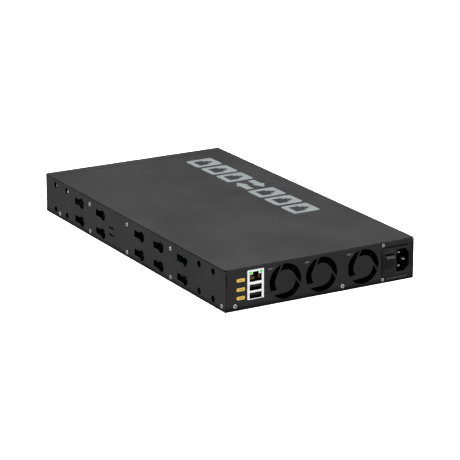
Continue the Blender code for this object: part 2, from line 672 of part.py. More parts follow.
def light_pipe():
    """A clear bar with one tooth for each lamp, between the window and the button board."""
    left = -SIDE + WINDOW_FROM_SIDE + SHEET
    front, back = FRONT + 2 * SHEET + GAP, FRONT + BUTTON_BOARD_Y - GAP
    low, high = WINDOW_Z + SHEET, WINDOW_Z + WINDOW_HEIGHT - SHEET
    bar = block((left, front, low), (left + WINDOW_WIDTH - 2 * SHEET, front + 2 * SHEET, high),
                "light_pipe")
    teeth = []
    for k in range(4):
        x = left + (k + 0.5) * (WINDOW_WIDTH - 2 * SHEET) / 4
        teeth.append(block((x - SHEET, front + SHEET, low + SHEET),
                           (x + SHEET, back, high - SHEET)))
    return join(bar, teeth)


def button_board():
    front = FRONT + BUTTON_BOARD_Y
    left = -SIDE + WINDOW_FROM_SIDE
    return block((left, front, BOARD_TOP + GAP),
                 (left + WINDOW_WIDTH, front + BOARD, WINDOW_Z + WINDOW_HEIGHT), "button_board")


def mode_button():
    """A round cap with a collar behind the wall and a stem to the switch on the button board."""
    x = -SIDE + MODE_FROM_SIDE
    front = FRONT - 0.8 * MM
    collar = FRONT + SHEET + GAP
    cap = rod((x, (front + collar) / 2, BUTTON_Z), MODE_BUTTON_R, collar - front, "Y",
              "mode_button", segments=20)
    collar_end = collar + SHEET
    ring = rod((x, (collar + collar_end) / 2 - GAP / 2, BUTTON_Z), MODE_BUTTON_R + 2 * BUTTON_CLEAR,
               SHEET + GAP / 2, "Y", segments=20)
    stem_end = FRONT + BUTTON_BOARD_Y - BUTTON_TRAVEL - GAP
    stem = rod((x, (collar + stem_end) / 2, BUTTON_Z), MODE_BUTTON_R / 2, stem_end - collar, "Y",
               segments=12)
    return join(cap, [ring, stem])


def reset_button():
    """A plunger behind the pin hole."""
    start = FRONT + SHEET + GAP
    end = FRONT + BUTTON_BOARD_Y - BUTTON_TRAVEL - GAP
    centre = (-SIDE + RESET_FROM_SIDE, (start + end) / 2, BUTTON_Z)
    return rod(centre, 2 * RESET_HOLE_R, end - start, "Y", "reset_button", segments=16)


# ---------------------------------------------------------------- boards, chips and ports
def main_board():
    """The main board, cut away for the power supply and the fans."""
    edge, front = SIDE - BOARD_MARGIN, FRONT + SHEET + GAP
    supply_x = SUPPLY_INNER_X + 3 * SHEET
    supply_y = REAR - SUPPLY_LENGTH - BOARD_MARGIN
    fans_y = REAR - REAR_BAY
    service_x = SERVICE_X - SERVICE_WIDTH / 2 - 2 * SHEET
    outline = [
        (-edge, front + BUTTON_BOARD_Y), (edge, front + BUTTON_BOARD_Y), (edge, REAR - 3 * SHEET),
        (service_x, REAR - 3 * SHEET), (service_x, fans_y), (supply_x, fans_y),
        (supply_x, supply_y), (-edge, supply_y),
    ]
    return plate(outline, BOARD, LYING, (0, 0, BOARD_BOTTOM + BOARD / 2), "main_board")


def chip(name, centre, side):
    x, y = centre
    base = BOARD_TOP + GAP
    return block((x - side / 2, y - side / 2, base),
                 (x + side / 2, y + side / 2, base + CHIP_HEIGHT), name)


def heat_sink(name, centre, size, base_z, base, top_z, fins):
    """A flat base with upright fins along Y, spread evenly over its width."""
    (x, y), (width, length) = centre, size
    sink = block((x - width / 2, y - length / 2, base_z), (x + width / 2, y + length / 2, base_z + base),
                 name)
    fin = FIN_SHARE * width / fins
    start, step = x - width / 2 + FOLD, (width - 2 * FOLD - fin) / (fins - 1)
    upright = [block((start + k * step, y - length / 2 + FOLD, base_z + base / 2),
                     (start + k * step + fin, y + length / 2 - FOLD, top_z)) for k in range(fins)]
    return join(sink, upright)


def jack_cutters(centre_x, low_z, low_y, high_y, latch_up=True, width=JACK_WIDTH, tall=JACK_BODY):
    """The cutters for a network socket: the plug's body, and the notch for its latch."""
    half, latch = width / 2, JACK_LATCH_WIDTH / 2
    high_z = low_z + tall + JACK_LATCH_HEIGHT
    if latch_up:
        body, notch = (low_z, low_z + tall), (low_z + tall / 2, high_z)
    else:
        body, notch = (high_z - tall, high_z), (low_z, high_z - tall / 2)
    return [
        block((centre_x - half, low_y, body[0]), (centre_x + half, high_y, body[1])),
        block((centre_x - latch, low_y, notch[0]), (centre_x + latch, high_y, notch[1])),
    ]


def copper_port_block():
    """Two rows of network sockets in one shielded block, latches outwards."""
    half = COPPER_WIDTH / 2
    body = block((COPPER_CENTRE_X - half, PORT_FACE_Y, PORT_LOW_Z),
                 (COPPER_CENTRE_X + half, PORT_FACE_Y + COPPER_DEPTH, PORT_LOW_Z + COPPER_HEIGHT),
                 "copper_port_block")
    low_row = PORT_LOW_Z + COPPER_WALL
    high_row = low_row + JACK_HEIGHT + COPPER_BETWEEN
    cavities = []
    for k in range(COPPER_COLUMNS):
        x = COPPER_CENTRE_X + (k - (COPPER_COLUMNS - 1) / 2) * COPPER_PITCH
        for z, latch_up in ((low_row, False), (high_row, True)):
            cavities += jack_cutters(x, z, PORT_FACE_Y - SHEET, PORT_FACE_Y + JACK_DEPTH, latch_up)
    return cut(body, cavities)


def fibre_port_cage():
    """Two rows of deep rectangular cages for plug-in transceivers."""
    half = FIBRE_BLOCK_WIDTH / 2
    body = block((FIBRE_CENTRE_X - half, PORT_FACE_Y, PORT_LOW_Z),
                 (FIBRE_CENTRE_X + half, PORT_FACE_Y + FIBRE_DEPTH, PORT_LOW_Z + FIBRE_BLOCK_HEIGHT),
                 "fibre_port_cage")
    cavities = []
    for k in range(FIBRE_COLUMNS):
        x = FIBRE_CENTRE_X + (k - (FIBRE_COLUMNS - 1) / 2) * FIBRE_PITCH
        for row in range(2):
            z = PORT_LOW_Z + FIBRE_WALL + row * (FIBRE_HEIGHT + FIBRE_BETWEEN)
            cavities.append(block((x - FIBRE_WIDTH / 2, PORT_FACE_Y - SHEET, z),
                                  (x + FIBRE_WIDTH / 2, PORT_FACE_Y + FIBRE_CAVITY, z + FIBRE_HEIGHT)))
    return cut(body, cavities)


def service_jack_shell():
    """The bright shield of the stacked service jack: one network socket over two serial sockets."""
    face, half = REAR + SERVICE_PROUD, SERVICE_WIDTH / 2
    inner = face - JACK_DEPTH
    shell = block((SERVICE_X - half, face - SERVICE_DEPTH, SERVICE_Z),
                  (SERVICE_X + half, face, SERVICE_Z + SERVICE_HEIGHT), "service_jack_shell")
    cutters = jack_cutters(SERVICE_X, SERVICE_Z + SERVICE_NET_LOW, inner - SHEET, face + SHEET,
                           width=SERVICE_OPENING, tall=SERVICE_NET_BODY)
    for low in SERIAL_LOWS:
        cutters.append(block((SERVICE_X - SERVICE_OPENING / 2, inner - SHEET, SERVICE_Z + low),
                             (SERVICE_X + SERVICE_OPENING / 2, face + SHEET,
                              SERVICE_Z + low + SERIAL_HEIGHT)))
    cutters.append(block((SERVICE_X - half + SHEET, face - 2 * SERVICE_DEPTH, SERVICE_Z + SHEET / 2),
                         (SERVICE_X + half - SHEET, inner, SERVICE_Z + SERVICE_HEIGHT - SHEET / 2)))
    return cut(shell, cutters)


def service_jack_insert():
    """The plastic core behind the sockets, with the two serial tongues and the contact comb."""
    face = REAR + SERVICE_PROUD
    half = SERVICE_WIDTH / 2 - SHEET - GAP
    back, front = face - SERVICE_DEPTH, face - JACK_DEPTH - GAP
    core = block((SERVICE_X - half, back, SERVICE_Z + SHEET / 2 + GAP),
                 (SERVICE_X + half, front, SERVICE_Z + SERVICE_HEIGHT - SHEET / 2 - GAP),
                 "service_jack_insert")
    pieces = []
    half = SERVICE_OPENING / 2 - GAP
    for low in SERIAL_LOWS:
        middle = SERVICE_Z + low + SERIAL_HEIGHT / 2 + TONGUE / 2
        pieces.append(block((SERVICE_X - half + GAP, front - SHEET, middle - TONGUE / 2),
                            (SERVICE_X + half - GAP, face - 2 * SHEET, middle + TONGUE / 2)))
    comb = SERVICE_Z + SERVICE_NET_LOW
    pieces.append(block((SERVICE_X - half, front - SHEET, comb + GAP),
                        (SERVICE_X + half, front + 3 * SHEET, comb + SERVICE_NET_BODY - GAP)))
    return join(core, pieces)


# ---------------------------------------------------------------- power supply
def inlet_outline():
    """The mains socket's outline in (x, z), its two cut corners towards the -X side."""
    w, h, c = INLET_WIDTH / 2, INLET_HEIGHT / 2, INLET_CHAMFER
    points = [(w, -h), (w, h), (-w + c, h), (-w, h - c), (-w, -h + c), (-w + c, -h)]
    return [(INLET_X + u, INLET_Z + v) for u, v in points]


def power_supply_bracket():
    """The supply's plate in the rear wall, joggled behind it at the screws, and its tray and side wall."""
    gap = SUPPLY_SHADOW_GAP
    inner, outer = SUPPLY_INNER_X - gap, SUPPLY_OUTER_X + GAP
    low, high = SUPPLY_BOTTOM + GAP, SUPPLY_TOP - gap
    bracket = prism(rounded_corners(outer, low, inner, high), SUPPLY_BACK_Y, SUPPLY_FACE_Y,
                    "power_supply_bracket")
    pieces = [block((outer + FOLD, SUPPLY_BACK_Y + FOLD, high - SHEET),
                    (outer + SUPPLY_STEP, SUPPLY_FACE_Y - FOLD, SUPPLY_TOP - GAP))]
    ear = SMALL_HEAD_R + GAP
    for (x, z), towards in zip(SUPPLY_SCREWS, (MID_Z + SUPPLY_EAR, MID_Z - SUPPLY_EAR)):
        end = min(z + ear, HEIGHT - SHEET - GAP) if z > MID_Z else max(z - ear, SHEET + GAP)
        pieces.append(block((x - 2 * ear, SUPPLY_BACK_Y - FOLD, min(end, towards)),
                            (x + ear, SUPPLY_BACK_Y + SHEET - FOLD, max(end, towards))))
    front, rear = REAR - SUPPLY_LENGTH, SUPPLY_BACK_Y + SHEET / 2
    pieces.append(block((outer + FOLD, front, low + FOLD), (inner, rear, low + FOLD + SHEET)))
    pieces.append(block((inner - SHEET, front + FOLD, low + 2 * FOLD),
                        (inner - FOLD, rear - FOLD, high - SUPPLY_CORNER_R)))
    join(bracket, pieces)
    cutters = [prism(inlet_outline(), INSIDE_REAR - 4 * SHEET, REAR + SHEET)]
    half_w = SWITCH_MOUTH_WIDTH / 2 + SWITCH_WALL + GAP
    half_h = SWITCH_MOUTH_HEIGHT / 2 + SWITCH_WALL + GAP
    cutters.append(block((SWITCH_X - half_w, INSIDE_REAR - 4 * SHEET, SWITCH_Z - half_h),
                         (SWITCH_X + half_w, REAR + SHEET, SWITCH_Z + half_h)))
    cutters += [shank_hole((x, INSIDE_REAR, z), "Y", SMALL_SHANK_R) for x, z in SUPPLY_SCREWS]
    return cut(bracket, cutters)


def pin_places():
    """(name, x, z, how deep the tip lies) of the inlet's three pins."""
    line_x, earth_x = INLET_X + PIN_OFFSET, INLET_X - PIN_OFFSET
    return [
        ("inlet_pin_live", line_x, INLET_Z + PIN_SPACING / 2, PIN_RECESS),
        ("inlet_pin_neutral", line_x, INLET_Z - PIN_SPACING / 2, PIN_RECESS),
        ("inlet_pin_earth", earth_x, INLET_Z, EARTH_RECESS),
    ]


def inlet_housing():
    """The socket body behind the supply's plate, with a slot in its back for each pin."""
    front = SUPPLY_BACK_Y - GAP
    back = front - INLET_DEPTH
    w, h = INLET_WIDTH / 2 + INLET_WALL, INLET_HEIGHT / 2 + INLET_WALL
    body = block((INLET_X - w, back, INLET_Z - h), (INLET_X + w, front, INLET_Z + h), "inlet_housing")
    cutters = [prism(inlet_outline(), front - INLET_RECESS, front + SHEET)]
    for _, x, z, _ in pin_places():
        half_w, half_t = PIN_WIDTH / 2 + GAP, PIN_THICK / 2 + GAP
        cutters.append(block((x - half_w, back - SHEET, z - half_t),
                             (x + half_w, front - INLET_RECESS + SHEET, z + half_t)))
    return cut(body, cutters)


def inlet_pins():
    back = SUPPLY_BACK_Y - GAP - INLET_DEPTH - PIN_TAIL
    return [block((x - PIN_WIDTH / 2, back, z - PIN_THICK / 2),
                  (x + PIN_WIDTH / 2, SUPPLY_FACE_Y - depth, z + PIN_THICK / 2), name)
            for name, x, z, depth in pin_places()]


def power_switch_housing():
    """A flanged frame through the supply's plate, hollow for the rocker."""
    w, h = SWITCH_FLANGE_WIDTH / 2, SWITCH_FLANGE_HEIGHT / 2
    flange = block((SWITCH_X - w, SWITCH_FACE_Y - SWITCH_FLANGE, SWITCH_Z - h),
                   (SWITCH_X + w, SWITCH_FACE_Y, SWITCH_Z + h), "power_switch_housing")
    mouth_w, mouth_h = SWITCH_MOUTH_WIDTH / 2, SWITCH_MOUTH_HEIGHT / 2
    w, h = mouth_w + SWITCH_WALL, mouth_h + SWITCH_WALL
    body = block((SWITCH_X - w, SWITCH_FACE_Y - SWITCH_DEPTH, SWITCH_Z - h),
                 (SWITCH_X + w, SWITCH_FACE_Y - SWITCH_FLANGE / 2, SWITCH_Z + h))
    join(flange, [body])
    mouth = block((SWITCH_X - mouth_w, SWITCH_FACE_Y - SWITCH_DEPTH + SHEET, SWITCH_Z - mouth_h),
                  (SWITCH_X + mouth_w, SWITCH_FACE_Y + SHEET, SWITCH_Z + mouth_h))
    pivot = rod((SWITCH_X, PIVOT_Y, SWITCH_Z), PIVOT_R + GAP, 2 * SWITCH_FLANGE_WIDTH, "X", segments=16)
    return cut(flange, [mouth, pivot])


def power_switch_rocker():
    """A cap with a dished face, modelled level about its pivot and then tipped to rest, top out."""
    half = math.sqrt(ROCKER_END_R**2 - ROCKER_FACE**2)
    sweep = 8
    face = [(half * (1 - 2 * k / sweep),
             ROCKER_FACE - ROCKER_HOLLOW * (1 - (1 - 2 * k / sweep) ** 2)) for k in range(sweep + 1)]
    flank = [(ROCKER_FACE / 2, -ROCKER_KEEL), (ROCKER_FACE, -ROCKER_FACE / 3),
             (ROCKER_SHOULDER, ROCKER_FACE / 2)]
    back = [(-z, d) for z, d in reversed(flank)] + flank
    outline = [(d, z) for z, d in [*face, *back]]
    centre = (SWITCH_X, PIVOT_Y, SWITCH_Z)
    rocker = plate(outline, ROCKER_WIDTH, FACING_X, centre, "power_switch_rocker")
    cut(rocker, [rod(centre, PIVOT_R + GAP, 2 * ROCKER_WIDTH, "X", segments=12)])
    tip = Matrix.Rotation(math.radians(-ROCKER_TILT), 4, "X")
    rocker.matrix_world = Matrix.Translation(centre) @ tip @ FACING_X
    return rocker


def power_switch_pivot():
    length = SWITCH_MOUTH_WIDTH + 2 * SWITCH_WALL - GAP
    return rod((SWITCH_X, PIVOT_Y, SWITCH_Z), PIVOT_R, length, "X", "power_switch_pivot", segments=16)


def supply_floor():
    """Height of the supply board's underside."""
    return SUPPLY_BOTTOM + GAP + SHEET + 2 * SHEET


def power_supply_board():
    low = supply_floor()
    inner = SUPPLY_INNER_X - SUPPLY_SHADOW_GAP - SHEET - GAP
    rear = SUPPLY_BACK_Y - GAP - INLET_DEPTH - PIN_TAIL - GAP
    return block((SUPPLY_OUTER_X + SHEET, REAR - SUPPLY_LENGTH + SHEET, low),
                 (inner - GAP, rear, low + BOARD), "power_supply_board")


def supply_top():
    """Height of the supply board's upper side, with a clearance for what stands on it."""
    return supply_floor() + BOARD + GAP


def power_transformer():
    """A squat core with its taped coil bulging out of all four sides."""
    x, y, low = (SUPPLY_INNER_X + SUPPLY_OUTER_X) / 2, REAR - TRANSFORMER_FROM_REAR, supply_top()
    width, length, height = CORE_SIZE
    core = block((x - width / 2, y - length / 2, low), (x + width / 2, y + length / 2, low + height),
                 "power_transformer")
    coil = rod((x, y, low + height / 2), COIL_R, COIL_HEIGHT, "Z", segments=20)
    return join(core, [coil])


def power_capacitor():
    x, y = (SUPPLY_INNER_X + SUPPLY_OUTER_X) / 2, REAR - CAPACITOR_FROM_REAR
    middle = supply_top() + CAPACITOR_HEIGHT / 2
    return rod((x, y, middle), CAPACITOR_R, CAPACITOR_HEIGHT, "Z", "power_capacitor", segments=24)


def power_heat_sink():
    centre = (SUPPLY_OUTER_X + POWER_SINK_INSET, REAR - POWER_SINK_FROM_REAR)
    low = supply_top()
    return heat_sink("power_heat_sink", centre, POWER_SINK_SIZE, low, SINK_BASE,
                     low + POWER_SINK_HEIGHT, 3)


def supply_cable():
    """The low-voltage lead from the supply board over the tray's edge to the main board."""
    start = Vector((SUPPLY_OUTER_X + LEAD_INSET, REAR - SUPPLY_LENGTH + LEAD_FROM_END,
                    supply_floor() + BOARD + 2 * LEAD_R + FOLD))
    route = [Vector((0, 0, 0)), Vector((0, -8, 3)), Vector((3, -17, 4)), Vector((9, -25, 3)),
             Vector((16, -32, 1)), Vector((22, -40, -1.5)), Vector((25, -48, -3.2))]
    curve = bpy.data.curves.new("supply_cable", "CURVE")
    curve.dimensions = "3D"
    curve.bevel_depth = LEAD_R
    curve.bevel_resolution = 2
    curve.use_fill_caps = True
    spline = curve.splines.new("POLY")
    spline.points.add(len(route) - 1)
    for point, offset in zip(spline.points, route):
        point.co = (*(start + offset * MM), 1)
    obj = bpy.data.objects.new("supply_cable", curve)
    bpy.context.scene.collection.objects.link(obj)
    return obj


# ---------------------------------------------------------------- fans
def fan_frame(name, x):
    """A square frame with a round duct, its motor base on four struts at the rear."""
    half, mount = FAN_SIZE / 2, FAN_MOUNT_PITCH / 2
    low, high = (x - half, FAN_FRONT_Y, MID_Z - half), (x + half, FAN_REAR_Y, MID_Z + half)
    frame = block(low, high, name)
    middle = (FAN_FRONT_Y + FAN_REAR_Y) / 2
    cutters = [rod((x, middle, MID_Z), DUCT_R, 2 * FAN_DEPTH, "Y", segments=32)]
    for u in (-1, 1):
        for v in (-1, 1):
            place = (x + u * mount, middle, MID_Z + v * mount)
            cutters.append(rod(place, FAN_MOUNT_R, 2 * FAN_DEPTH, "Y", segments=8))
    cut(frame, cutters)
    base_y = FAN_REAR_Y - FAN_BASE / 2 - GAP
    pieces = [rod((x, base_y, MID_Z), FAN_HUB_R, FAN_BASE, "Y", segments=20)]
    for k in range(2):
        strut = block((-DUCT_R - GAP, -FAN_BASE / 2 + FOLD, -FAN_STRUT / 2),
                      (DUCT_R + GAP, FAN_BASE / 2 - (k + 1) * FOLD, FAN_STRUT / 2))
        turn = Matrix.Rotation(math.radians(45 + 90 * k), 4, "Y")
        strut.matrix_world = Matrix.Translation((x, base_y, MID_Z)) @ turn @ strut.matrix_world
        pieces.append(strut)
    bearing = rod((x, base_y, MID_Z), FAN_SHAFT_R + GAP, 3 * FAN_BASE, "Y", segments=12)
    return cut(join(frame, pieces), [bearing])


def fan_blades(inner, outer, depth):
    """All blades as one mesh: flat strips bent round a helix, then thickened."""
    bpy.ops.mesh.primitive_grid_add(x_subdivisions=2, y_subdivisions=4, size=1)
    obj = bpy.context.object
    work = bmesh.new()
    for blade in range(FAN_BLADES):
        strip = bmesh.new()
        strip.from_mesh(obj.data)
        for vertex in strip.verts:
            along, across = vertex.co.x + 0.5, vertex.co.y
            radius = inner + along * (outer - inner)
            angle = math.tau * (blade / FAN_BLADES + FAN_BLADE_TWIST * across)
            vertex.co = (radius * math.cos(angle), across * depth, radius * math.sin(angle))
        mesh = bpy.data.meshes.new("strip")
        strip.to_mesh(mesh)
        strip.free()
        work.from_mesh(mesh)
    work.to_mesh(obj.data)
    work.free()
    thick = obj.modifiers.new("thickness", "SOLIDIFY")
    thick.thickness = FAN_BLADE
    thick.offset = 0
    bpy.context.view_layer.update()
    obj.data = solid_mesh(obj)
    obj.modifiers.clear()
    return obj


def fan_rotor(name, x):
    """A cup-shaped hub with its blades and a shaft into the motor base."""
    base_front = FAN_REAR_Y - GAP - FAN_BASE
    rear = base_front - 2 * GAP
    front = FAN_FRONT_Y + 2 * FAN_BASE
    centre = (x, (rear + front) / 2, MID_Z)
    hub = rod(centre, FAN_HUB_R, rear - front, "Y", name, segments=20)
    depth = rear - front - 2 * FAN_BLADE
    blades = fan_blades(FAN_HUB_R - FAN_BLADE, DUCT_R - FAN_BLADE_GAP, depth)
    blades.location = centre
    shaft_end = FAN_REAR_Y - 2 * GAP
    shaft = rod((x, (rear + shaft_end) / 2 - GAP, MID_Z), FAN_SHAFT_R, shaft_end - rear, "Y",
                segments=12)
    return join(hub, [blades, shaft])


def fans():
    frame = fan_frame("fan_1_frame", FAN_CENTRES_X[0])
    rotor = fan_rotor("fan_1_rotor", FAN_CENTRES_X[0])
    made = [(frame, "black_plastic"), (rotor, "black_plastic")]
    for k, x in enumerate(FAN_CENTRES_X[1:], start=2):
        offset = (x - FAN_CENTRES_X[0], 0, 0)
        made.append((copy_of(frame, f"fan_{k}_frame", offset), "black_plastic"))
        made.append((copy_of(rotor, f"fan_{k}_rotor", offset), "black_plastic"))
    return made


# ---------------------------------------------------------------- assembly
def all_screws():
    made = []
    for side, sign in (("right", 1), ("left", -1)):
        for k, (y, z) in enumerate(side_screw_places(), start=1):
            made.append(screw(f"{side}_screw_{k}", (sign * SIDE, y, z), (sign, 0, 0)))
    for k, (x, z) in enumerate(REAR_SCREWS, start=1):
        made.append(screw(f"rear_screw_{k}", (x, REAR, z), (0, 1, 0)))
    for k, (x, z) in enumerate(SUPPLY_SCREWS, start=1 + len(REAR_SCREWS)):
        made.append(screw(f"rear_screw_{k}", (x, REAR, z), (0, 1, 0), SMALL_HEAD_R, SMALL_SHANK_R))
    return [(obj, "screw_steel") for obj in made]


def electronics():
    """Boards, chips, heat sinks and sockets, with their finishes."""
    chip_top = BOARD_TOP + 2 * GAP + CHIP_HEIGHT
    phy_at = (COPPER_CENTRE_X, PORT_FACE_Y + COPPER_DEPTH + PHY_SINK_BEHIND)
    return [
        (main_board(), "circuit_board"),
        (chip("switch_chip", SWITCH_CHIP_AT, SWITCH_CHIP), "chip"),
        (heat_sink("switch_heat_sink", SWITCH_CHIP_AT, SWITCH_SINK, chip_top, SINK_BASE,
                   SWITCH_SINK_TOP, 12), "aluminium"),
        (chip("processor_chip", PROCESSOR_AT, PROCESSOR_CHIP), "chip"),
        (heat_sink("processor_heat_sink", PROCESSOR_AT, PROCESSOR_SINK, chip_top, SINK_BASE,
                   PROCESSOR_SINK_TOP, 9), "aluminium"),
        (heat_sink("phy_heat_sink", phy_at, PHY_SINK, BOARD_TOP + GAP, SINK_BASE, PHY_SINK_TOP, 11),
         "aluminium"),
        (copper_port_block(), "shield"),
        (fibre_port_cage(), "zinc_steel"),
        (service_jack_shell(), "shield"),
        (service_jack_insert(), "black_plastic"),
        (status_window(), "smoked_lens"),
        (light_pipe(), "clear_lens"),
        (button_board(), "circuit_board"),
        (mode_button(), "switch_plastic"),
        (reset_button(), "switch_plastic"),
    ]


def enclosure():
    return [
        (bottom_pan(), "black_paint"),
        (side_panel("right_side_panel", 1), "black_paint"),
        (side_panel("left_side_panel", -1), "black_paint"),
        (front_panel(), "black_paint"),
        (top_cover(), "black_paint"),
    ]


def supply():
    made = [
        (power_supply_bracket(), "black_paint"),
        (power_supply_board(), "circuit_board"),
        (power_transformer(), "winding"),
        (power_capacitor(), "capacitor_sleeve"),
        (power_heat_sink(), "aluminium"),
        (inlet_housing(), "black_plastic"),
        (power_switch_housing(), "switch_plastic"),
        (power_switch_rocker(), "switch_plastic"),
        (power_switch_pivot(), "screw_steel"),
        (supply_cable(), "cable"),
    ]
    return made + [(pin, "brass") for pin in inlet_pins()]


def main():
    for obj in list(bpy.data.objects):
        bpy.data.objects.remove(obj)
    finishes = make_finishes()
    group = bpy.data.collections.new("network_switch")
    bpy.context.scene.collection.children.link(group)
    for obj, slot in [*enclosure(), *electronics(), *supply(), *fans(), *all_screws()]:
        obj.data.materials.clear()
        obj.data.materials.append(finishes[slot])
        for holder in list(obj.users_collection):
            holder.objects.unlink(obj)
        group.objects.link(obj)


main()
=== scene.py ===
# %% [markdown]
# # A half-width rackmount network switch
#
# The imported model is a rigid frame: sheets, boards, fans and sockets, each at its real size. This lesson
# gives every one of them its finish and adds what is too fine for the frame: screw recesses, contact
# springs, lamps, printed marks, labels and the small parts on the boards.

# %% Load the frame
import json
import math
import random

import bmesh
import bpy
from mathutils import Matrix, Vector


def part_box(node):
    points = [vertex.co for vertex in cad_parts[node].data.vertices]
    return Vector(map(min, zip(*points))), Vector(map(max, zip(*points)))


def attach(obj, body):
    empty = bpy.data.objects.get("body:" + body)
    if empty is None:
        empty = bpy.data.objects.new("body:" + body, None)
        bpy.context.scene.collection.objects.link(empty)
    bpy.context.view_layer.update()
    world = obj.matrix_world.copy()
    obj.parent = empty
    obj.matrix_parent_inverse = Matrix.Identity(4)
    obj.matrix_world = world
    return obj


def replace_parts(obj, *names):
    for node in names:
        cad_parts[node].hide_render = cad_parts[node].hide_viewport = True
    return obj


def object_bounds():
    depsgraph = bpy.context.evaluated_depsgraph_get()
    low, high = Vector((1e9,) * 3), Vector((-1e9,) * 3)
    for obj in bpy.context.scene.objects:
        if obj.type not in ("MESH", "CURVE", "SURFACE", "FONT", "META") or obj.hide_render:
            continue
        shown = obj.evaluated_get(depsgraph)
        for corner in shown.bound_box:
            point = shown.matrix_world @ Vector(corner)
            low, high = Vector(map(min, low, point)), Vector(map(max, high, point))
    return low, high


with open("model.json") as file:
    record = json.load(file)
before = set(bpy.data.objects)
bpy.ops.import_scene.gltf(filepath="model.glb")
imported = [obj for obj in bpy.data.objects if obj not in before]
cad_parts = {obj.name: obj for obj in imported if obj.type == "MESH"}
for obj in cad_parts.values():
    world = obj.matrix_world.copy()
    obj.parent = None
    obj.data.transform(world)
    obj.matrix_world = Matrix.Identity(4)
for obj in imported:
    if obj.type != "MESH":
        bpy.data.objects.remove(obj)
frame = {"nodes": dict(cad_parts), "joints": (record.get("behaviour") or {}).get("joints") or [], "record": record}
cad_low, cad_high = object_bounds()
MM = 0.001
print("frame", [round(v / MM, 1) for v in cad_low], [round(v / MM, 1) for v in cad_high])

# %% [markdown]
# ## Camera, floor and light
#
# A product picture of a black box needs a long lens, so that its edges stay nearly parallel, and a white
# floor that is brighter than the box. The floor glows softly, so that it stays white right up to the case.
# One wide lamp overhead makes the lid the brightest face. Weaker lamps behind, beside and in front keep the
# walls darker than the lid while their screws and sockets still shine. None of them stands where the lid
# would mirror it: on a black surface, such a reflection hides everything else.

# %% The camera
AIM = Vector((-0.0126, -0.0033, 0.0109))
VIEW_AZIMUTH, VIEW_ELEVATION = math.radians(150.02), math.radians(17.22)
VIEW_DISTANCE = 2.4
LENS = 175.8


def towards_viewer(azimuth, elevation):
    """The direction from the object to a viewer; azimuth 0 looks along +Y."""
    flat = math.cos(elevation)
    return Vector((math.sin(azimuth) * flat, -math.cos(azimuth) * flat, math.sin(elevation)))


def aimed(obj, place, target):
    obj.location = place
    obj.rotation_euler = (Vector(target) - Vector(place)).to_track_quat("-Z", "Y").to_euler()
    bpy.context.scene.collection.objects.link(obj)
    return obj


lens = bpy.data.cameras.new("camera")
lens.lens = LENS
lens.sensor_width = 36
lens.clip_end = 20
camera = aimed(bpy.data.objects.new("camera", lens),
               AIM + VIEW_DISTANCE * towards_viewer(VIEW_AZIMUTH, VIEW_ELEVATION), AIM)
bpy.context.scene.camera = camera
bpy.context.scene.view_settings.view_transform = "Standard"
print("camera at", [round(v, 3) for v in camera.location])


# %% The lamps
def soft_lamp(name, place, size, power):
    """A square area lamp that faces the middle of the object."""
    data = bpy.data.lights.new(name, "AREA")
    data.size = size
    data.energy = power
    lamp = aimed(bpy.data.objects.new(name, data), place, (0, 0, 0.02))
    print(name, size, "m wide,", power, "W")
    return lamp


soft_lamp("overhead_lamp", (0.1, 0.2, 2.6), 2.2, 150)
soft_lamp("rear_lamp", (-0.4, 2.7, 0.9), 1.6, 33)
soft_lamp("side_lamp", (2.7, 0.5, 0.7), 1.6, 33)
soft_lamp("front_lamp", (1.7, -2.3, 0.9), 1.4, 44)
world = bpy.data.worlds.new("studio")
world.use_nodes = True
world.node_tree.nodes["Background"].inputs["Color"].default_value = (1, 1, 1, 1)
world.node_tree.nodes["Background"].inputs["Strength"].default_value = 0.1
bpy.context.scene.world = world

# %% [markdown]
# ## Shader maths as Python
#
# A finish is a small network of shader nodes. Wiring it by hand hides the arithmetic, so a `Tone` wraps one
# socket and turns `+ - * /` into Math nodes. `Finish.node` adds any other node: first its settings, then the
# values or links of its sockets. A finish can then be read like a formula.


# %% Tones and finishes
class Tone:
    """One output socket, usable in arithmetic with numbers and other tones."""

    def __init__(self, finish, socket):
        self.finish, self.socket = finish, socket

    def maths(self, operation, left, right=None):
        values = {0: left} if right is None else {0: left, 1: right}
        return self.finish.node("Math", {"operation": operation}, values)

    def __add__(self, other):
        return self.maths("ADD", self, other)

    def __sub__(self, other):
        return self.maths("SUBTRACT", self, other)

    def __rsub__(self, other):
        return self.maths("SUBTRACT", other, self)

    def __mul__(self, other):
        return self.maths("MULTIPLY", self, other)

    def __truediv__(self, other):
        return self.maths("DIVIDE", self, other)

    def __abs__(self):
        return self.maths("ABSOLUTE", self)

    def least(self, other):
        return self.maths("MINIMUM", self, other)

    def most(self, other):
        return self.maths("MAXIMUM", self, other)

    __radd__, __rmul__ = __add__, __mul__


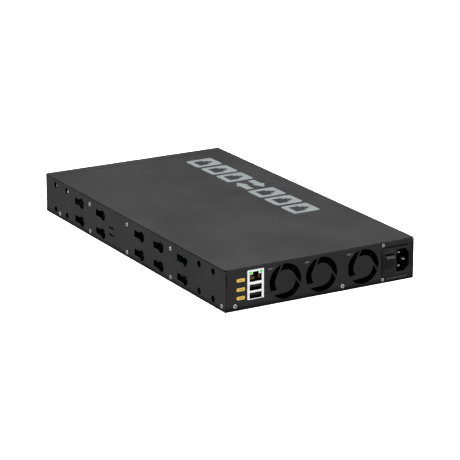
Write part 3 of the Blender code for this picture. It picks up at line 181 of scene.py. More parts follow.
class Finish:
    """A material made of one Principled shader and the nodes that feed it."""

    def __init__(self, name, colour, roughness, metallic=0.0, **constants):
        self.material = bpy.data.materials.new(name)
        self.material.use_nodes = True
        self.tree = self.material.node_tree
        self.shader = self.tree.nodes["Principled BSDF"]
        self.colour, self.roughness = colour, roughness
        self.set("Base Color", (*colour, 1))
        self.set("Roughness", roughness)
        self.set("Metallic", metallic)
        for name, value in constants.items():
            self.set(name.replace("_", " "), value)
        self.material.diffuse_color = (*colour, 1)

    def set(self, socket, value):
        """Gives one of the shader's sockets a number, a colour or a tone."""
        self.feed(self.shader.inputs[socket], value)

    def feed(self, socket, value):
        if isinstance(value, Tone):
            self.tree.links.new(value.socket, socket)
        else:
            socket.default_value = value

    def node(self, kind, settings=None, sockets=None, output=0):
        """Adds a shader node: its settings first, then its sockets' values or links."""
        node = self.tree.nodes.new("ShaderNode" + kind)
        for name, value in (settings or {}).items():
            if name == "stops":
                self.set_stops(node.color_ramp, value)
            else:
                setattr(node, name, value)
        for name, value in (sockets or {}).items():
            self.feed(node.inputs[name], value)
        return Tone(self, node.outputs[output])

    def set_stops(self, ramp, stops):
        while len(ramp.elements) < len(stops):
            ramp.elements.new(1)
        for element, (place, shade) in zip(ramp.elements, stops):
            element.position = place
            element.color = (shade, shade, shade, 1)

    def place(self):
        """The point on the object, in metres."""
        return self.node("TexCoord", output="Object")

    def noise(self, size, detail=2.0, stretch=(1, 1, 1), **settings):
        """Noise from 0 to 1 whose lumps are about size metres across, longer where stretch is over 1."""
        scale = tuple(1 / s for s in stretch)
        where = self.node("Mapping", {}, {"Vector": self.place(), "Scale": scale})
        return self.node("TexNoise", settings, {"Vector": where, "Scale": 1 / size, "Detail": detail})

    def axes(self):
        """The three coordinates of the point on the object."""
        split = self.node("SeparateXYZ", {}, {"Vector": self.place()})
        return [Tone(self, output) for output in split.socket.node.outputs]

    def rise(self, value, start, width):
        """0 up to start, 1 from start + width on."""
        return self.node("Math", {"operation": "DIVIDE", "use_clamp": True}, {0: value - start, 1: width})

    def ramp(self, value, *stops):
        return self.node("ValToRGB", {"stops": stops}, {"Fac": value})

    def blend(self, mask, colour_a, colour_b):
        """colour_a where the mask is 0, colour_b where it is 1."""
        sockets = {0: mask, 6: opaque(colour_a), 7: opaque(colour_b)}
        return self.node("Mix", {"data_type": "RGBA"}, sockets, output=2)

    def mottle(self, size, amount, detail=2.0):
        """Lightens and darkens the base colour by a share of itself."""
        dark = [c * (1 - amount) for c in self.colour]
        light = [min(1, c * (1 + amount)) for c in self.colour]
        self.set("Base Color", self.blend(self.ramp(self.noise(size, detail), (0.3, 0), (0.7, 1)), dark, light))
        return self

    def bump(self, height, depth):
        """Bump from a height of 0 to 1 that stands for depth metres."""
        self.set("Normal", self.node("Bump", {}, {"Height": height, "Distance": depth, "Strength": 1.0}))
        return self


def opaque(colour):
    return colour if isinstance(colour, Tone) or len(colour) == 4 else (*colour, 1)


# %% The floor
def make_floor(half=8.0):
    """A white floor that glows softly, wide enough to fill the picture."""
    bpy.ops.mesh.primitive_plane_add(size=2 * half, location=(0, 0, -0.0002))
    floor = bpy.context.object
    floor.name = "studio_floor"
    paper = Finish("white_floor", (0.92, 0.92, 0.92), 0.9)
    paper.set("Specular IOR Level", 0.0)
    paper.set("Emission Color", (1, 1, 1, 1))
    paper.set("Emission Strength", 0.9)
    floor.data.materials.append(paper.material)
    floor.visible_glossy = floor.visible_diffuse = False
    return floor


floor = make_floor()
print("floor", floor.dimensions.x, "m wide")

# %% [markdown]
# ## Black powder coat
#
# The case is sheet steel under baked black powder. The powder melts into a fine orange peel, and it is never
# quite even: broad patches are a little glossier than others. Handling rubs the outer edges slightly
# greyer. The lowest few millimetres get painted shade, and a dark band of painted shade runs along the seam
# under the lid's edge. All these masks come from the distance to the case's own planes, measured in metres.
# One more mask paints every surface that lies under the outer planes black, as painted shade: light that
# enters a keyhole or a fan grille of a closed black case doesn't come out again.

# %% The coat
CASE_HALF_WIDTH = cad_high[0]
CASE_TOP = cad_high[2]
REAR_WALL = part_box("top_cover")[1][1]
FRONT_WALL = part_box("front_panel")[0][1]
EDGE_RUB = 0.8 * MM
# height of the painted shade at the foot of the case
SHADE_HEIGHT = 6 * MM
COAT_BLACK = (0.0148, 0.0148, 0.0149)


def nearness(finish, coordinate, plane):
    """1 on a plane and 0 from EDGE_RUB away."""
    return (1 - abs(abs(coordinate) - plane) / EDGE_RUB).most(0)


def powder_coat(name, painted_shade_depth=None):
    """Black powder. Given a depth, every surface deeper than that under the case's outer planes gets painted shade:
    pure black.
    """
    finish = Finish(name, COAT_BLACK, 0.5)
    patches = finish.ramp(finish.noise(60 * MM, 3), (0.35, 0), (0.65, 1))
    peel = finish.noise(0.5 * MM, 2)
    speck = finish.ramp(finish.noise(0.9 * MM, 1), (0.66, 0), (0.72, 1))
    x, y, z = finish.axes()
    middle_y = (REAR_WALL + FRONT_WALL) / 2
    near_x = nearness(finish, x, CASE_HALF_WIDTH)
    near_y = nearness(finish, y - middle_y, (REAR_WALL - FRONT_WALL) / 2)
    near_z = nearness(finish, z, CASE_TOP)
    edge = (near_x * near_z).most(near_y * near_z).most(near_x * near_y)
    rub = edge * finish.ramp(finish.noise(9 * MM, 4), (0.45, 0), (0.62, 1)) * 0.5
    even = finish.blend(patches, [0.96 * c for c in COAT_BLACK], [1.06 * c for c in COAT_BLACK])
    dusted = finish.blend(speck * 0.25, even, (0.036, 0.036, 0.037))
    rubbed = finish.blend(rub, dusted, (0.06, 0.06, 0.061))
    # painted shade: base colour and sheen fall towards black in the lowest few millimetres above the floor
    lit = finish.rise(z, -0.5 * MM, SHADE_HEIGHT)
    shown = finish.blend(lit, (0.001, 0.001, 0.001), rubbed)
    finish.set("Metallic", 0.9 - lit * 0.9)
    if painted_shade_depth:
        # painted shade: surfaces deeper under the outer planes than the given depth are painted near black, with
        # metallic 1 so they keep no sheen
        outside = (CASE_HALF_WIDTH - abs(x)).least(CASE_TOP - z).least(z + 0.0)
        depth = outside.least(REAR_WALL - y).least(y - FRONT_WALL)
        painted_interior_shade = finish.rise(depth, painted_shade_depth, 0.06 * MM)
        # painted shade: a dark band about a millimetre high on the case's sides, just under the top, where the
        # lid's edge meets the side walls
        painted_seam_shade = finish.rise(z, CASE_TOP - 1.3 * MM, 0.2 * MM) * finish.rise(CASE_TOP - z, 0.15 * MM, 0.1 * MM)
        on_side = finish.rise(abs(x), CASE_HALF_WIDTH - 0.3 * MM, 0.1 * MM)
        shown = finish.blend(painted_seam_shade * on_side * 0.75, shown, (0.003, 0.003, 0.003))
        shown = finish.blend(painted_interior_shade, shown, (0.0004, 0.0004, 0.0004))
        finish.set("Metallic", painted_interior_shade.most(0.9 - lit * 0.9))
    finish.set("Base Color", shown)
    finish.set("Roughness", 0.46 + patches * 0.08 + peel * 0.06 - rub * 0.12)
    return finish.bump(peel, 0.012 * MM)


# the case's coat carries the painted interior shade; the recessed coat has none, since the front panel and the
# supply bracket lie under the outer planes
coat = powder_coat("black_powder_coat", painted_shade_depth=0.11 * MM)
recessed_coat = powder_coat("black_powder_coat_recessed")
print(coat.material.name, len(coat.tree.nodes), "nodes")

# %% [markdown]
# ## Metals
#
# Rolled, stamped and turned metal all carry the marks of how they were made. A stretched noise stands for
# the rolling direction of the tinned shield and the extrusion lines of the heat sinks. Nickel-plated screws
# are smoother, with a faint haze.


# %% Metal finishes
def rolled(name, colour, roughness, size, stretch, depth):
    """Metal with fine lines that run along the axis with the greatest stretch."""
    finish = Finish(name, colour, roughness, metallic=1.0)
    lines = finish.noise(size, 2, stretch)
    haze = finish.noise(12 * MM, 2)
    finish.mottle(20 * MM, 0.05)
    finish.set("Roughness", roughness - 0.05 + lines * 0.1 + haze * 0.08)
    return finish.bump(lines, depth)


tin_plate = rolled("bright_tin_plate", (0.95, 0.96, 0.97), 0.36, 0.25 * MM, (1, 1, 14), 0.004 * MM)
# painted shade: from 0.3 mm behind its face, inside the socket mouths, the shell is painted black with its sheen
# taken away
shell_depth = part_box("service_jack_shell")[1][1] - tin_plate.axes()[1]
mouth = tin_plate.rise(shell_depth, 0.3 * MM, 0.15 * MM)
bright = tin_plate.blend(tin_plate.ramp(tin_plate.noise(9 * MM), (0.3, 0), (0.7, 1)), (0.9, 0.92, 0.94), (0.95, 0.96, 0.97))
tin_plate.set("Base Color", tin_plate.blend(mouth, bright, (0.002, 0.002, 0.002)))
tin_plate.set("Metallic", 0.05 + mouth * 0.9)
# painted light: outside the socket mouths the shell glows faintly white, though it is no lamp
tin_plate.set("Emission Color", tin_plate.blend(mouth, (1, 1, 1), (0, 0, 0)))
tin_plate.set("Emission Strength", 0.2)
zinc_plate = rolled("zinc_plate", (0.62, 0.63, 0.65), 0.36, 0.3 * MM, (1, 12, 1), 0.006 * MM)
extrusion = rolled("extruded_aluminium", (0.72, 0.73, 0.75), 0.38, 0.35 * MM, (1, 20, 1), 0.01 * MM)
nickel = rolled("nickel_plate", (0.74, 0.74, 0.75), 0.3, 0.4 * MM, (1, 1, 1), 0.003 * MM)


def screw_plate():
    """Nickel with painted shade in its recess and in the middle of the head; a screw stands along its own Z with
    its head flush with z = 0.
    """
    finish = rolled("nickel_plated_screw", (0.8, 0.8, 0.81), 0.3, 0.4 * MM, (1, 1, 1), 0.003 * MM)
    x, y, z = finish.axes()
    # painted shade: the middle of the head and everything below its face are painted near black
    painted_middle_shade = 1 - finish.rise(x * x + y * y, (0.75 * MM) ** 2, (0.5 * MM) ** 2)
    deep = finish.rise(z * -1, 0.06 * MM, 0.06 * MM).most(painted_middle_shade)
    worn = finish.ramp(finish.noise(1.2 * MM, 2), (0.35, 0), (0.65, 1))
    bright = finish.blend(worn, (0.74, 0.74, 0.75), (0.84, 0.84, 0.85))
    finish.set("Base Color", finish.blend(deep, bright, (0.01, 0.01, 0.01)))
    finish.set("Metallic", 0.4 + deep * 0.5)
    return finish


screw_metal = screw_plate()


def blade_plate():
    """Plated brass with painted shade: only the tips keep their shine, and the rest of each blade is painted near
    black where the socket's black walls shade it.
    """
    finish = rolled("plated_inlet_pin", (0.85, 0.84, 0.8), 0.3, 0.3 * MM, (1, 8, 1), 0.003 * MM)
    y = finish.axes()[1]
    tip = finish.rise(y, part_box("inlet_pin_live")[1][1] - 0.45 * MM, 0.15 * MM)
    tip = tip * (1 - finish.rise(y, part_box("inlet_pin_live")[1][1] + 0.2 * MM, 0.1 * MM))
    tip = tip.most(finish.rise(y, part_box("inlet_pin_earth")[1][1] - 0.45 * MM, 0.15 * MM))
    # painted shade: the blade is near black away from its tips
    finish.set("Base Color", finish.blend(tip, (0.02, 0.02, 0.02), (0.85, 0.85, 0.83)))
    finish.set("Metallic", 0.5)
    return finish


pin_plate = blade_plate()


def port_plate(name, colour, depth):
    """Bright plate on the front ports, with painted shade: near black inside the case, where no light reaches it.
    """
    finish = rolled(name, colour, 0.34, 0.3 * MM, (1, 12, 1), 0.005 * MM)
    # painted shade: from depth behind the front panel inwards, the plate is painted near black
    inside = finish.rise(finish.axes()[1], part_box("front_panel")[0][1] + depth, 2 * MM)
    finish.set("Base Color", finish.blend(inside, colour, (0.001, 0.001, 0.001)))
    finish.set("Metallic", 0.5 + inside * 0.5)
    return finish


copper_plate = port_plate("port_shield_plate", (0.82, 0.83, 0.84), 3 * MM)
cage_plate = port_plate("cage_plate", (0.62, 0.63, 0.65), 3 * MM)
gilt = rolled("gold_flashed_contact", (0.86, 0.6, 0.24), 0.28, 0.2 * MM, (1, 6, 1), 0.002 * MM)
bronze = rolled("bronze_spring_strip", (0.23, 0.15, 0.055), 0.45, 0.3 * MM, (1, 1, 5), 0.004 * MM)
bronze.set("Metallic", 0.2)
solder = rolled("solder", (0.66, 0.67, 0.68), 0.34, 0.4 * MM, (1, 1, 1), 0.02 * MM)
print("metals", [m.material.name for m in (tin_plate, zinc_plate, extrusion, nickel)])

# %% [markdown]
# ## Plastics, boards and inks
#
# Moulded parts take the texture of their mould: spark-eroded grain on the switch, a finer one on the fans
# and the inlet. The circuit board's green mask shows its copper tracks as faint raised steps. Inks and
# labels are printed, so their colour breaks up a little at the scale of the screen.


# %% Plastic finishes
def moulded(name, colour, roughness, grain, depth, **constants):
    """Plastic with a mould grain."""
    finish = Finish(name, colour, roughness, **constants)
    texture = finish.noise(grain, 3)
    finish.mottle(8 * MM, 0.12)
    finish.set("Roughness", roughness - 0.06 + texture * 0.12)
    return finish.bump(texture, depth)


fan_plastic = moulded("fan_and_inlet_plastic", (0.0018, 0.0018, 0.0019), 0.55, 0.25 * MM, 0.006 * MM,
                      Specular_IOR_Level=0.06)
switch_plastic = moulded("switch_plastic", (0.021, 0.021, 0.0215), 0.55, 0.35 * MM, 0.012 * MM,
                         Specular_IOR_Level=0.35)
socket_plastic = moulded("socket_liner", (0.003, 0.003, 0.003), 0.5, 0.3 * MM, 0.006 * MM,
                         Specular_IOR_Level=0.1)
epoxy = moulded("chip_epoxy", (0.018, 0.018, 0.02), 0.5, 0.2 * MM, 0.008 * MM)
smoked = moulded("smoked_window", (0.012, 0.012, 0.016), 0.12, 3 * MM, 0.002 * MM, Coat_Weight=0.6)
light_guide = moulded("light_guide", (0.05, 0.055, 0.05), 0.2, 1 * MM, 0.002 * MM,
                      Transmission_Weight=0.5, IOR=1.49)
tape = moulded("yellow_coil_tape", (0.72, 0.5, 0.08), 0.42, 0.8 * MM, 0.03 * MM)
sleeve = moulded("capacitor_sleeve", (0.02, 0.03, 0.07), 0.3, 1.5 * MM, 0.004 * MM)
sheath = moulded("cable_sheath", (0.05, 0.05, 0.055), 0.5, 0.5 * MM, 0.01 * MM)
ceramic = moulded("ceramic_part", (0.42, 0.33, 0.22), 0.5, 0.3 * MM, 0.004 * MM)
dull_edge = moulded("serial_tongue_edge", (0.09, 0.085, 0.07), 0.4, 0.3 * MM, 0.004 * MM)
print("plastics", fan_plastic.material.name, switch_plastic.material.name)


# %% Boards, inks and lamps
def circuit_board():
    """Green solder mask over tracks: a grid of cells whose borders stand for the copper's edges."""
    finish = Finish("green_solder_mask", (0.004, 0.016, 0.009), 0.5, Specular_IOR_Level=0.2)
    cells = finish.node("TexVoronoi", {"feature": "DISTANCE_TO_EDGE", "distance": "EUCLIDEAN"},
                        {"Vector": finish.place(), "Scale": 1 / (4 * MM), "Randomness": 0.7})
    track = finish.ramp(cells, (0.03, 1), (0.08, 0))
    green = finish.blend(track, (0.004, 0.018, 0.010), (0.008, 0.030, 0.016))
    # painted shade: the board turns near black towards the case's side walls
    rim = finish.rise(abs(finish.axes()[0]), CASE_HALF_WIDTH - 32 * MM, 12 * MM)
    finish.set("Base Color", finish.blend(rim, green, (0.0006, 0.0016, 0.001)))
    finish.set("Roughness", 0.32 + finish.noise(3 * MM) * 0.12)
    return finish.bump(track, 0.03 * MM)


def printed(name, colour, roughness=0.6):
    """Screen-printed ink: even, with a fine screen and slightly thin patches."""
    finish = Finish(name, colour, roughness)
    screen = finish.noise(0.35 * MM, 1)
    thin = finish.ramp(finish.noise(14 * MM, 3), (0.3, 1), (0.6, 0))
    worn = [0.82 * c for c in colour]
    finish.set("Base Color", finish.blend(thin * 0.6 + screen * 0.2, colour, worn))
    finish.set("Roughness", roughness - 0.05 + screen * 0.1)
    return finish.bump(screen, 0.004 * MM)


def lamp_lens(name, colour, glow):
    """A small lens whose glow and surface ripple a little."""
    finish = Finish(name, colour, 0.25, Coat_Weight=0.4)
    ripple = finish.noise(0.8 * MM, 1)
    finish.set("Roughness", 0.2 + ripple * 0.1)
    finish.set("Emission Color", finish.blend(ripple, colour, [min(1, 1.4 * c) for c in colour]))
    finish.set("Emission Strength", glow)
    return finish.bump(ripple, 0.02 * MM)


solder_mask = circuit_board()
lid_ink = printed("grey_lid_ink", (0.175, 0.188, 0.192))
mark_ink = printed("grey_mark_ink", (0.23, 0.23, 0.235))
faint_ink = printed("faint_mark_ink", (0.1, 0.1, 0.102))
label_ink = printed("dark_label_ink", (0.36, 0.22, 0.05))
label_paper = printed("amber_label", (1.0, 0.66, 0.13))
# painted light: the amber labels glow faintly, though they are no lamps
label_paper.set("Emission Color", (1.0, 0.62, 0.1, 1))
label_paper.set("Emission Strength", 0.08)
white_ink = printed("white_mark_ink", (0.62, 0.62, 0.62))
green_lens = lamp_lens("green_lamp", (0.04, 0.62, 0.07), 0.45)
amber_lens = lamp_lens("amber_lamp", (0.75, 0.38, 0.03), 0.35)
dark_lens = lamp_lens("unlit_lamp", (0.22, 0.26, 0.22), 0.0)
print("inks", lid_ink.material.name, label_paper.material.name)

# %% [markdown]
# ## Finishes on the frame's own pieces
#
# The frame says which finish each piece takes. Its edges are mathematically sharp, and a real folded or
# moulded edge never is: a small Bevel catches the light along every edge. The imported triangles share no
# corners, so a Weld comes first.

# %% Dress the frame
SLOT_FINISH = {
    "black_paint": coat, "zinc_steel": zinc_plate, "screw_steel": nickel, "shield": tin_plate,
    "black_plastic": fan_plastic, "switch_plastic": switch_plastic, "circuit_board": solder_mask,
    "chip": epoxy, "aluminium": extrusion, "brass": pin_plate, "smoked_lens": smoked,
    "clear_lens": light_guide, "winding": tape, "capacitor_sleeve": sleeve, "cable": sheath,
}
EDGE_WIDTH = {"black_paint": 0.09, "shield": 0.2, "switch_plastic": 0.25, "chip": 0.3, "winding": 0.6}
PLAIN_EDGE = 0.12


def soften(obj, width, segments=2, sharp=30):
    """Welds an object and rounds its edges that turn by more than sharp degrees."""
    weld = obj.modifiers.new("weld", "WELD")
    weld.merge_threshold = 1e-6
    bevel = obj.modifiers.new("soft edges", "BEVEL")
    bevel.width = width
    bevel.segments = segments
    bevel.limit_method = "ANGLE"
    bevel.angle_limit = math.radians(sharp)
    bevel.use_clamp_overlap = True
    return obj


OWN_FINISH = {"front_panel": recessed_coat, "power_supply_bracket": recessed_coat,
              "copper_port_block": copper_plate, "fibre_port_cage": cage_plate}


def dress(node, slot):
    obj = frame["nodes"][node]
    for holder in obj.material_slots:
        holder.material = OWN_FINISH.get(node, SLOT_FINISH[slot]).material
    return soften(obj, EDGE_WIDTH.get(slot, PLAIN_EDGE) * MM)


for part in frame["record"]["subparts"]:
    dress(part["node"], part["material_slot"])

# %% [markdown]
# ## Small modelling helpers
#
# Every added piece is a mesh made in code. `Shape` collects blocks, rods and outlines in one bmesh, and
# `piece` turns it into an object that rides on a body of the frame and names its finish.


# %% Helpers
class Shape:
    """Solid primitives gathered in one mesh, in metres."""

    def __init__(self):
        self.work = bmesh.new()

    def block(self, low, high, turn=None):
        """A box between two corners, turned about its centre."""
        low, high = Vector(low), Vector(high)
        frame_at = Matrix.Translation((low + high) / 2) @ (turn or Matrix.Identity(4))
        bmesh.ops.create_cube(self.work, size=1, matrix=frame_at @ Matrix.Diagonal((*(high - low), 1)))
        return self

    def rod(self, centre, radius, length, axis="Y", far=None, segments=20):
        """A rod or cone about an axis; far is its radius at the upper end."""
        turn = {"X": Matrix.Rotation(math.pi / 2, 4, "Y"), "Y": Matrix.Rotation(-math.pi / 2, 4, "X"),
                "Z": Matrix.Identity(4)}[axis]
        bmesh.ops.create_cone(self.work, cap_ends=True, segments=segments, radius1=radius,
                              radius2=radius if far is None else far, depth=length,
                              matrix=Matrix.Translation(centre) @ turn)
        return self

    def add_mesh(self, mesh, matrix=None):
        """Joins a finished mesh, placed by a matrix."""
        own = mesh.copy()
        own.transform(matrix or Matrix.Identity(4))
        self.work.from_mesh(own)
        bpy.data.meshes.remove(own)
        return self

    def mesh(self, name):
        result = bpy.data.meshes.new(name)
        self.work.to_mesh(result)
        self.work.free()
        return result


def piece(name, mesh, finish, body="chassis", edge=0.0, sharp=35):
    """Shows a mesh as a piece of the object."""
    obj = bpy.data.objects.new(name, mesh)
    bpy.context.scene.collection.objects.link(obj)
    mesh.materials.clear()
    mesh.materials.append(finish.material)
    mesh.shade_smooth()
    mesh.set_sharp_from_angle(angle=math.radians(sharp))
    if edge:
        soften(obj, edge)
    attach(obj, body)
    return obj


def evaluated(obj):
    """The mesh of an object with its modifiers applied; the object is removed."""
    bpy.context.view_layer.update()
    mesh = bpy.data.meshes.new_from_object(obj.evaluated_get(bpy.context.evaluated_depsgraph_get()))
    bpy.data.objects.remove(obj)
    return mesh


def outline_mesh(name, loops, thickness, matrix):
    """A flat shape from closed loops of points; inner loops are holes. It lies in XY of the matrix."""
    curve = bpy.data.curves.new(name, "CURVE")
    curve.dimensions = "2D"
    curve.fill_mode = "BOTH"
    curve.extrude = thickness / 2
    for loop in loops:
        spline = curve.splines.new("POLY")
        spline.points.add(len(loop) - 1)
        for point, (u, v) in zip(spline.points, loop):
            point.co = (u, v, 0, 1)
        spline.use_cyclic_u = True
    obj = bpy.data.objects.new(name, curve)
    bpy.context.scene.collection.objects.link(obj)
    mesh = evaluated(obj)
    mesh.transform(matrix)
    return mesh


def rounded_box(width, height, radius, centre=(0, 0), steps=5):
    """A loop of points round a rectangle with round corners."""
    points = []
    for k, (u, v) in enumerate(((1, 1), (-1, 1), (-1, -1), (1, -1))):
        corner = (centre[0] + u * (width / 2 - radius), centre[1] + v * (height / 2 - radius))
        for step in range(steps + 1):
            angle = math.pi / 2 * (k + step / steps)
            points.append((corner[0] + radius * math.cos(angle), corner[1] + radius * math.sin(angle)))
    return points


def middle(node):
    low, high = (Vector(corner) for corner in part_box(node))
    return (low + high) / 2


print("helpers ready")

# %% [markdown]
# ## Screws
#
# Countersunk machine screws hold every sheet. Each head is a shallow truncated cone with a cross recess. One
# head is modelled: a turned profile, from which two crossing wedges are cut. Its copies stand where the
# frame's plain screws are, each turned by its own angle, as no two screws stop at the same one.

# %% The screw
def screw_mesh(head_r, length):
    """A countersunk screw along +Z whose head is flush with z = 0."""
    shank_r = 0.56 * head_r
    profile = [(0, 0), (head_r - 0.3 * MM, 0), (head_r - 0.08 * MM, -0.05 * MM), (head_r, -0.2 * MM),
               (shank_r, -1.35 * MM), (shank_r, -length + 0.3 * MM), (0.8 * shank_r, -length), (0, -length)]
    mesh = bpy.data.meshes.new("screw_profile")
    mesh.from_pydata([(r, 0, z) for r, z in profile], [(k, k + 1) for k in range(len(profile) - 1)], [])
    obj = bpy.data.objects.new("screw_profile", mesh)
    bpy.context.scene.collection.objects.link(obj)
    turn = obj.modifiers.new("turn", "SCREW")
    turn.steps = turn.render_steps = 32
    turn.use_merge_vertices = True
    turn.merge_threshold = 1e-6
    cross = Shape()
    for angle in (0, math.pi / 2):
        spin = Matrix.Rotation(angle, 4, "Z")
        reach, half = 0.62 * head_r, 0.15 * head_r
        wing = Shape().block((-reach, -half, -1.1 * MM), (reach, half, 0.4 * MM))
        for vertex in wing.work.verts:
            if vertex.co.z < 0:
                vertex.co.x *= 0.45
                vertex.co.y *= 0.6
        cross.add_mesh(wing.mesh("wing"), spin)
    tool = bpy.data.objects.new("cross_recess", cross.mesh("cross_recess"))
    bpy.context.scene.collection.objects.link(tool)
    recess = obj.modifiers.new("recess", "BOOLEAN")
    recess.operation = "DIFFERENCE"
    recess.use_self = True
    recess.object = tool
    result = evaluated(obj)
    bpy.data.objects.remove(tool)
    return result


def place_screws():
    """Puts a detailed screw in place of each plain one."""
    meshes = {}
    turns = random.Random(4)
    made = 0
    for node in sorted(frame["nodes"]):
        if "_screw_" not in node:
            continue
        low, high = (Vector(corner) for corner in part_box(node))
        seat = (low + high) / 2
        if node.startswith("rear"):
            out = Vector((0, 1, 0))
            seat.y = high.y
        else:
            sign = 1 if node.startswith("right") else -1
            out = Vector((sign, 0, 0))
            seat.x = high.x if sign > 0 else low.x
        head_r, length = round((high.z - low.z) / 2, 5), round(min(high - low), 5)
        if head_r not in meshes:
            meshes[head_r] = screw_mesh(head_r, length)
        copy = piece(node + "_detail", meshes[head_r].copy(), screw_metal, sharp=28)
        spin = Matrix.Rotation(turns.uniform(0, math.pi / 2), 4, "Z")
        copy.matrix_world = Matrix.Translation(seat) @ out.to_track_quat("Z", "Y").to_matrix().to_4x4() @ spin
        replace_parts(copy, node)
        made += 1
    return made


print(place_screws(), "screws")

# %% [markdown]
# ## The printed lid
#
# A large grey print runs along one side of the lid. It is ink, a few hundredths of a millimetre thick. Here
# it is a generic row of socket symbols with a pair of arrows in the middle, the drawing that stands for a
# switch in any network plan.

# %% Lid print
PRINT_LOW_X, PRINT_HIGH_X = -79.8 * MM, -47 * MM
PRINT_START_Y, PRINT_END_Y = -167 * MM, 74 * MM
PRINT_COUNT = 7
INK = 0.05 * MM


def socket_symbol(width, height):
    """A thick frame round the stepped outline of a plug."""
    w, h = width / 2, height / 2
    inner = [(-0.58, -0.6), (0.58, -0.6), (0.58, 0.12), (0.34, 0.12), (0.34, 0.4), (0.15, 0.4),
             (0.15, 0.62), (-0.15, 0.62), (-0.15, 0.4), (-0.34, 0.4), (-0.34, 0.12), (-0.58, 0.12)]
    return [rounded_box(width, height, 0.12 * width), [(u * w, v * h) for u, v in inner]]


def arrow_symbol(width, height, direction):
    """One fat arrow; direction 1 points along +u, and the arrow lies in the upper half."""
    w, low, high = width / 2, 0.04 * height, 0.5 * height
    middle_v, shaft = (low + high) / 2, 0.13 * height
    points = [(-w, middle_v - shaft), (0.1 * w, middle_v - shaft), (0.1 * w, low), (w, middle_v),
              (0.1 * w, high), (0.1 * w, middle_v + shaft), (-w, middle_v + shaft)]
    return [[(direction * u, direction * v) for u, v in points]]


def lid_print():
    """All symbols, reading along +Y with their tops towards -X."""
    pitch = (PRINT_END_Y - PRINT_START_Y) / PRINT_COUNT
    width, height = 0.84 * pitch, PRINT_HIGH_X - PRINT_LOW_X
    turn = Matrix(((0, -1, 0, 0), (1, 0, 0, 0), (0, 0, 1, 0), (0, 0, 0, 1)))
    shape = Shape()
    for k in range(PRINT_COUNT):
        centre = ((PRINT_LOW_X + PRINT_HIGH_X) / 2, PRINT_START_Y + (k + 0.5) * pitch, CASE_TOP)
        symbols = [socket_symbol(width, height)]
        if k == PRINT_COUNT // 2:
            symbols = [arrow_symbol(width, height, 1), arrow_symbol(width, height, -1)]
        for loops in symbols:
            shape.add_mesh(outline_mesh("symbol", loops, INK, Matrix.Translation(centre) @ turn))
    return piece("lid_print", shape.mesh("lid_print"), lid_ink)


printed_lid = lid_print()
print("lid print", [round(v / MM) for v in printed_lid.dimensions], "mm")

# %% [markdown]
# ## The service jack
#
# The bright shell holds a network socket over two serial sockets. Inside, black liners hide the metal,
# springy gold wires wait for the plug, and each serial tongue carries four contacts. Two green lamps sit in
# the shell's upper corners.

# %% Service jack details
shell_low, shell_high = (Vector(corner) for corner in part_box("service_jack_shell"))
JACK_X = (shell_low.x + shell_high.x) / 2
FACE_Y = shell_high.y
NET_LOW = shell_low.z + 17.9 * MM
NET_BODY, NET_HALF = 7.7 * MM, 6.9 * MM
SERIAL_LOW = [shell_low.z + 0.65 * MM, shell_low.z + 8.9 * MM]
SERIAL_HALF, SERIAL_UP = 6.9 * MM, 6.3 * MM
SOCKET_DEPTH = 13.6 * MM
LINER = 0.25 * MM


def liner(shape, x_low, x_high, z_low, z_high, face, inwards, depth, inset=0.35 * MM):
    """Four thin walls and a back inside a rectangular socket; inwards is the sign of Y into it."""
    start, end = sorted((face + inwards * inset, face + inwards * depth))
    t = LINER
    shape.block((x_low, start, z_low), (x_low + t, end, z_high))
    shape.block((x_high - t, start, z_low), (x_high, end, z_high))
    shape.block((x_low, start, z_low), (x_high, end, z_low + t))
    shape.block((x_low, start, z_high - t), (x_high, end, z_high))
    back = face + inwards * depth
    shape.block((x_low, min(back, back - inwards * t), z_low), (x_high, max(back, back - inwards * t), z_high))


def net_contacts(shape, x, z_floor, up, face, inwards):
    """Eight spring wires that rise from the socket's floor towards its back."""
    for k in range(8):
        cx = x + (k - 3.5) * 1.02 * MM
        length = 7.5 * MM
        slope = math.radians(22) * up * inwards
        cy = face + inwards * 6.4 * MM
        cz = z_floor + up * 2.0 * MM
        turn = Matrix.Rotation(slope, 4, "X")
        shape.block((cx - 0.2 * MM, cy - length / 2, cz - 0.12 * MM),
                    (cx + 0.2 * MM, cy + length / 2, cz + 0.12 * MM), turn)


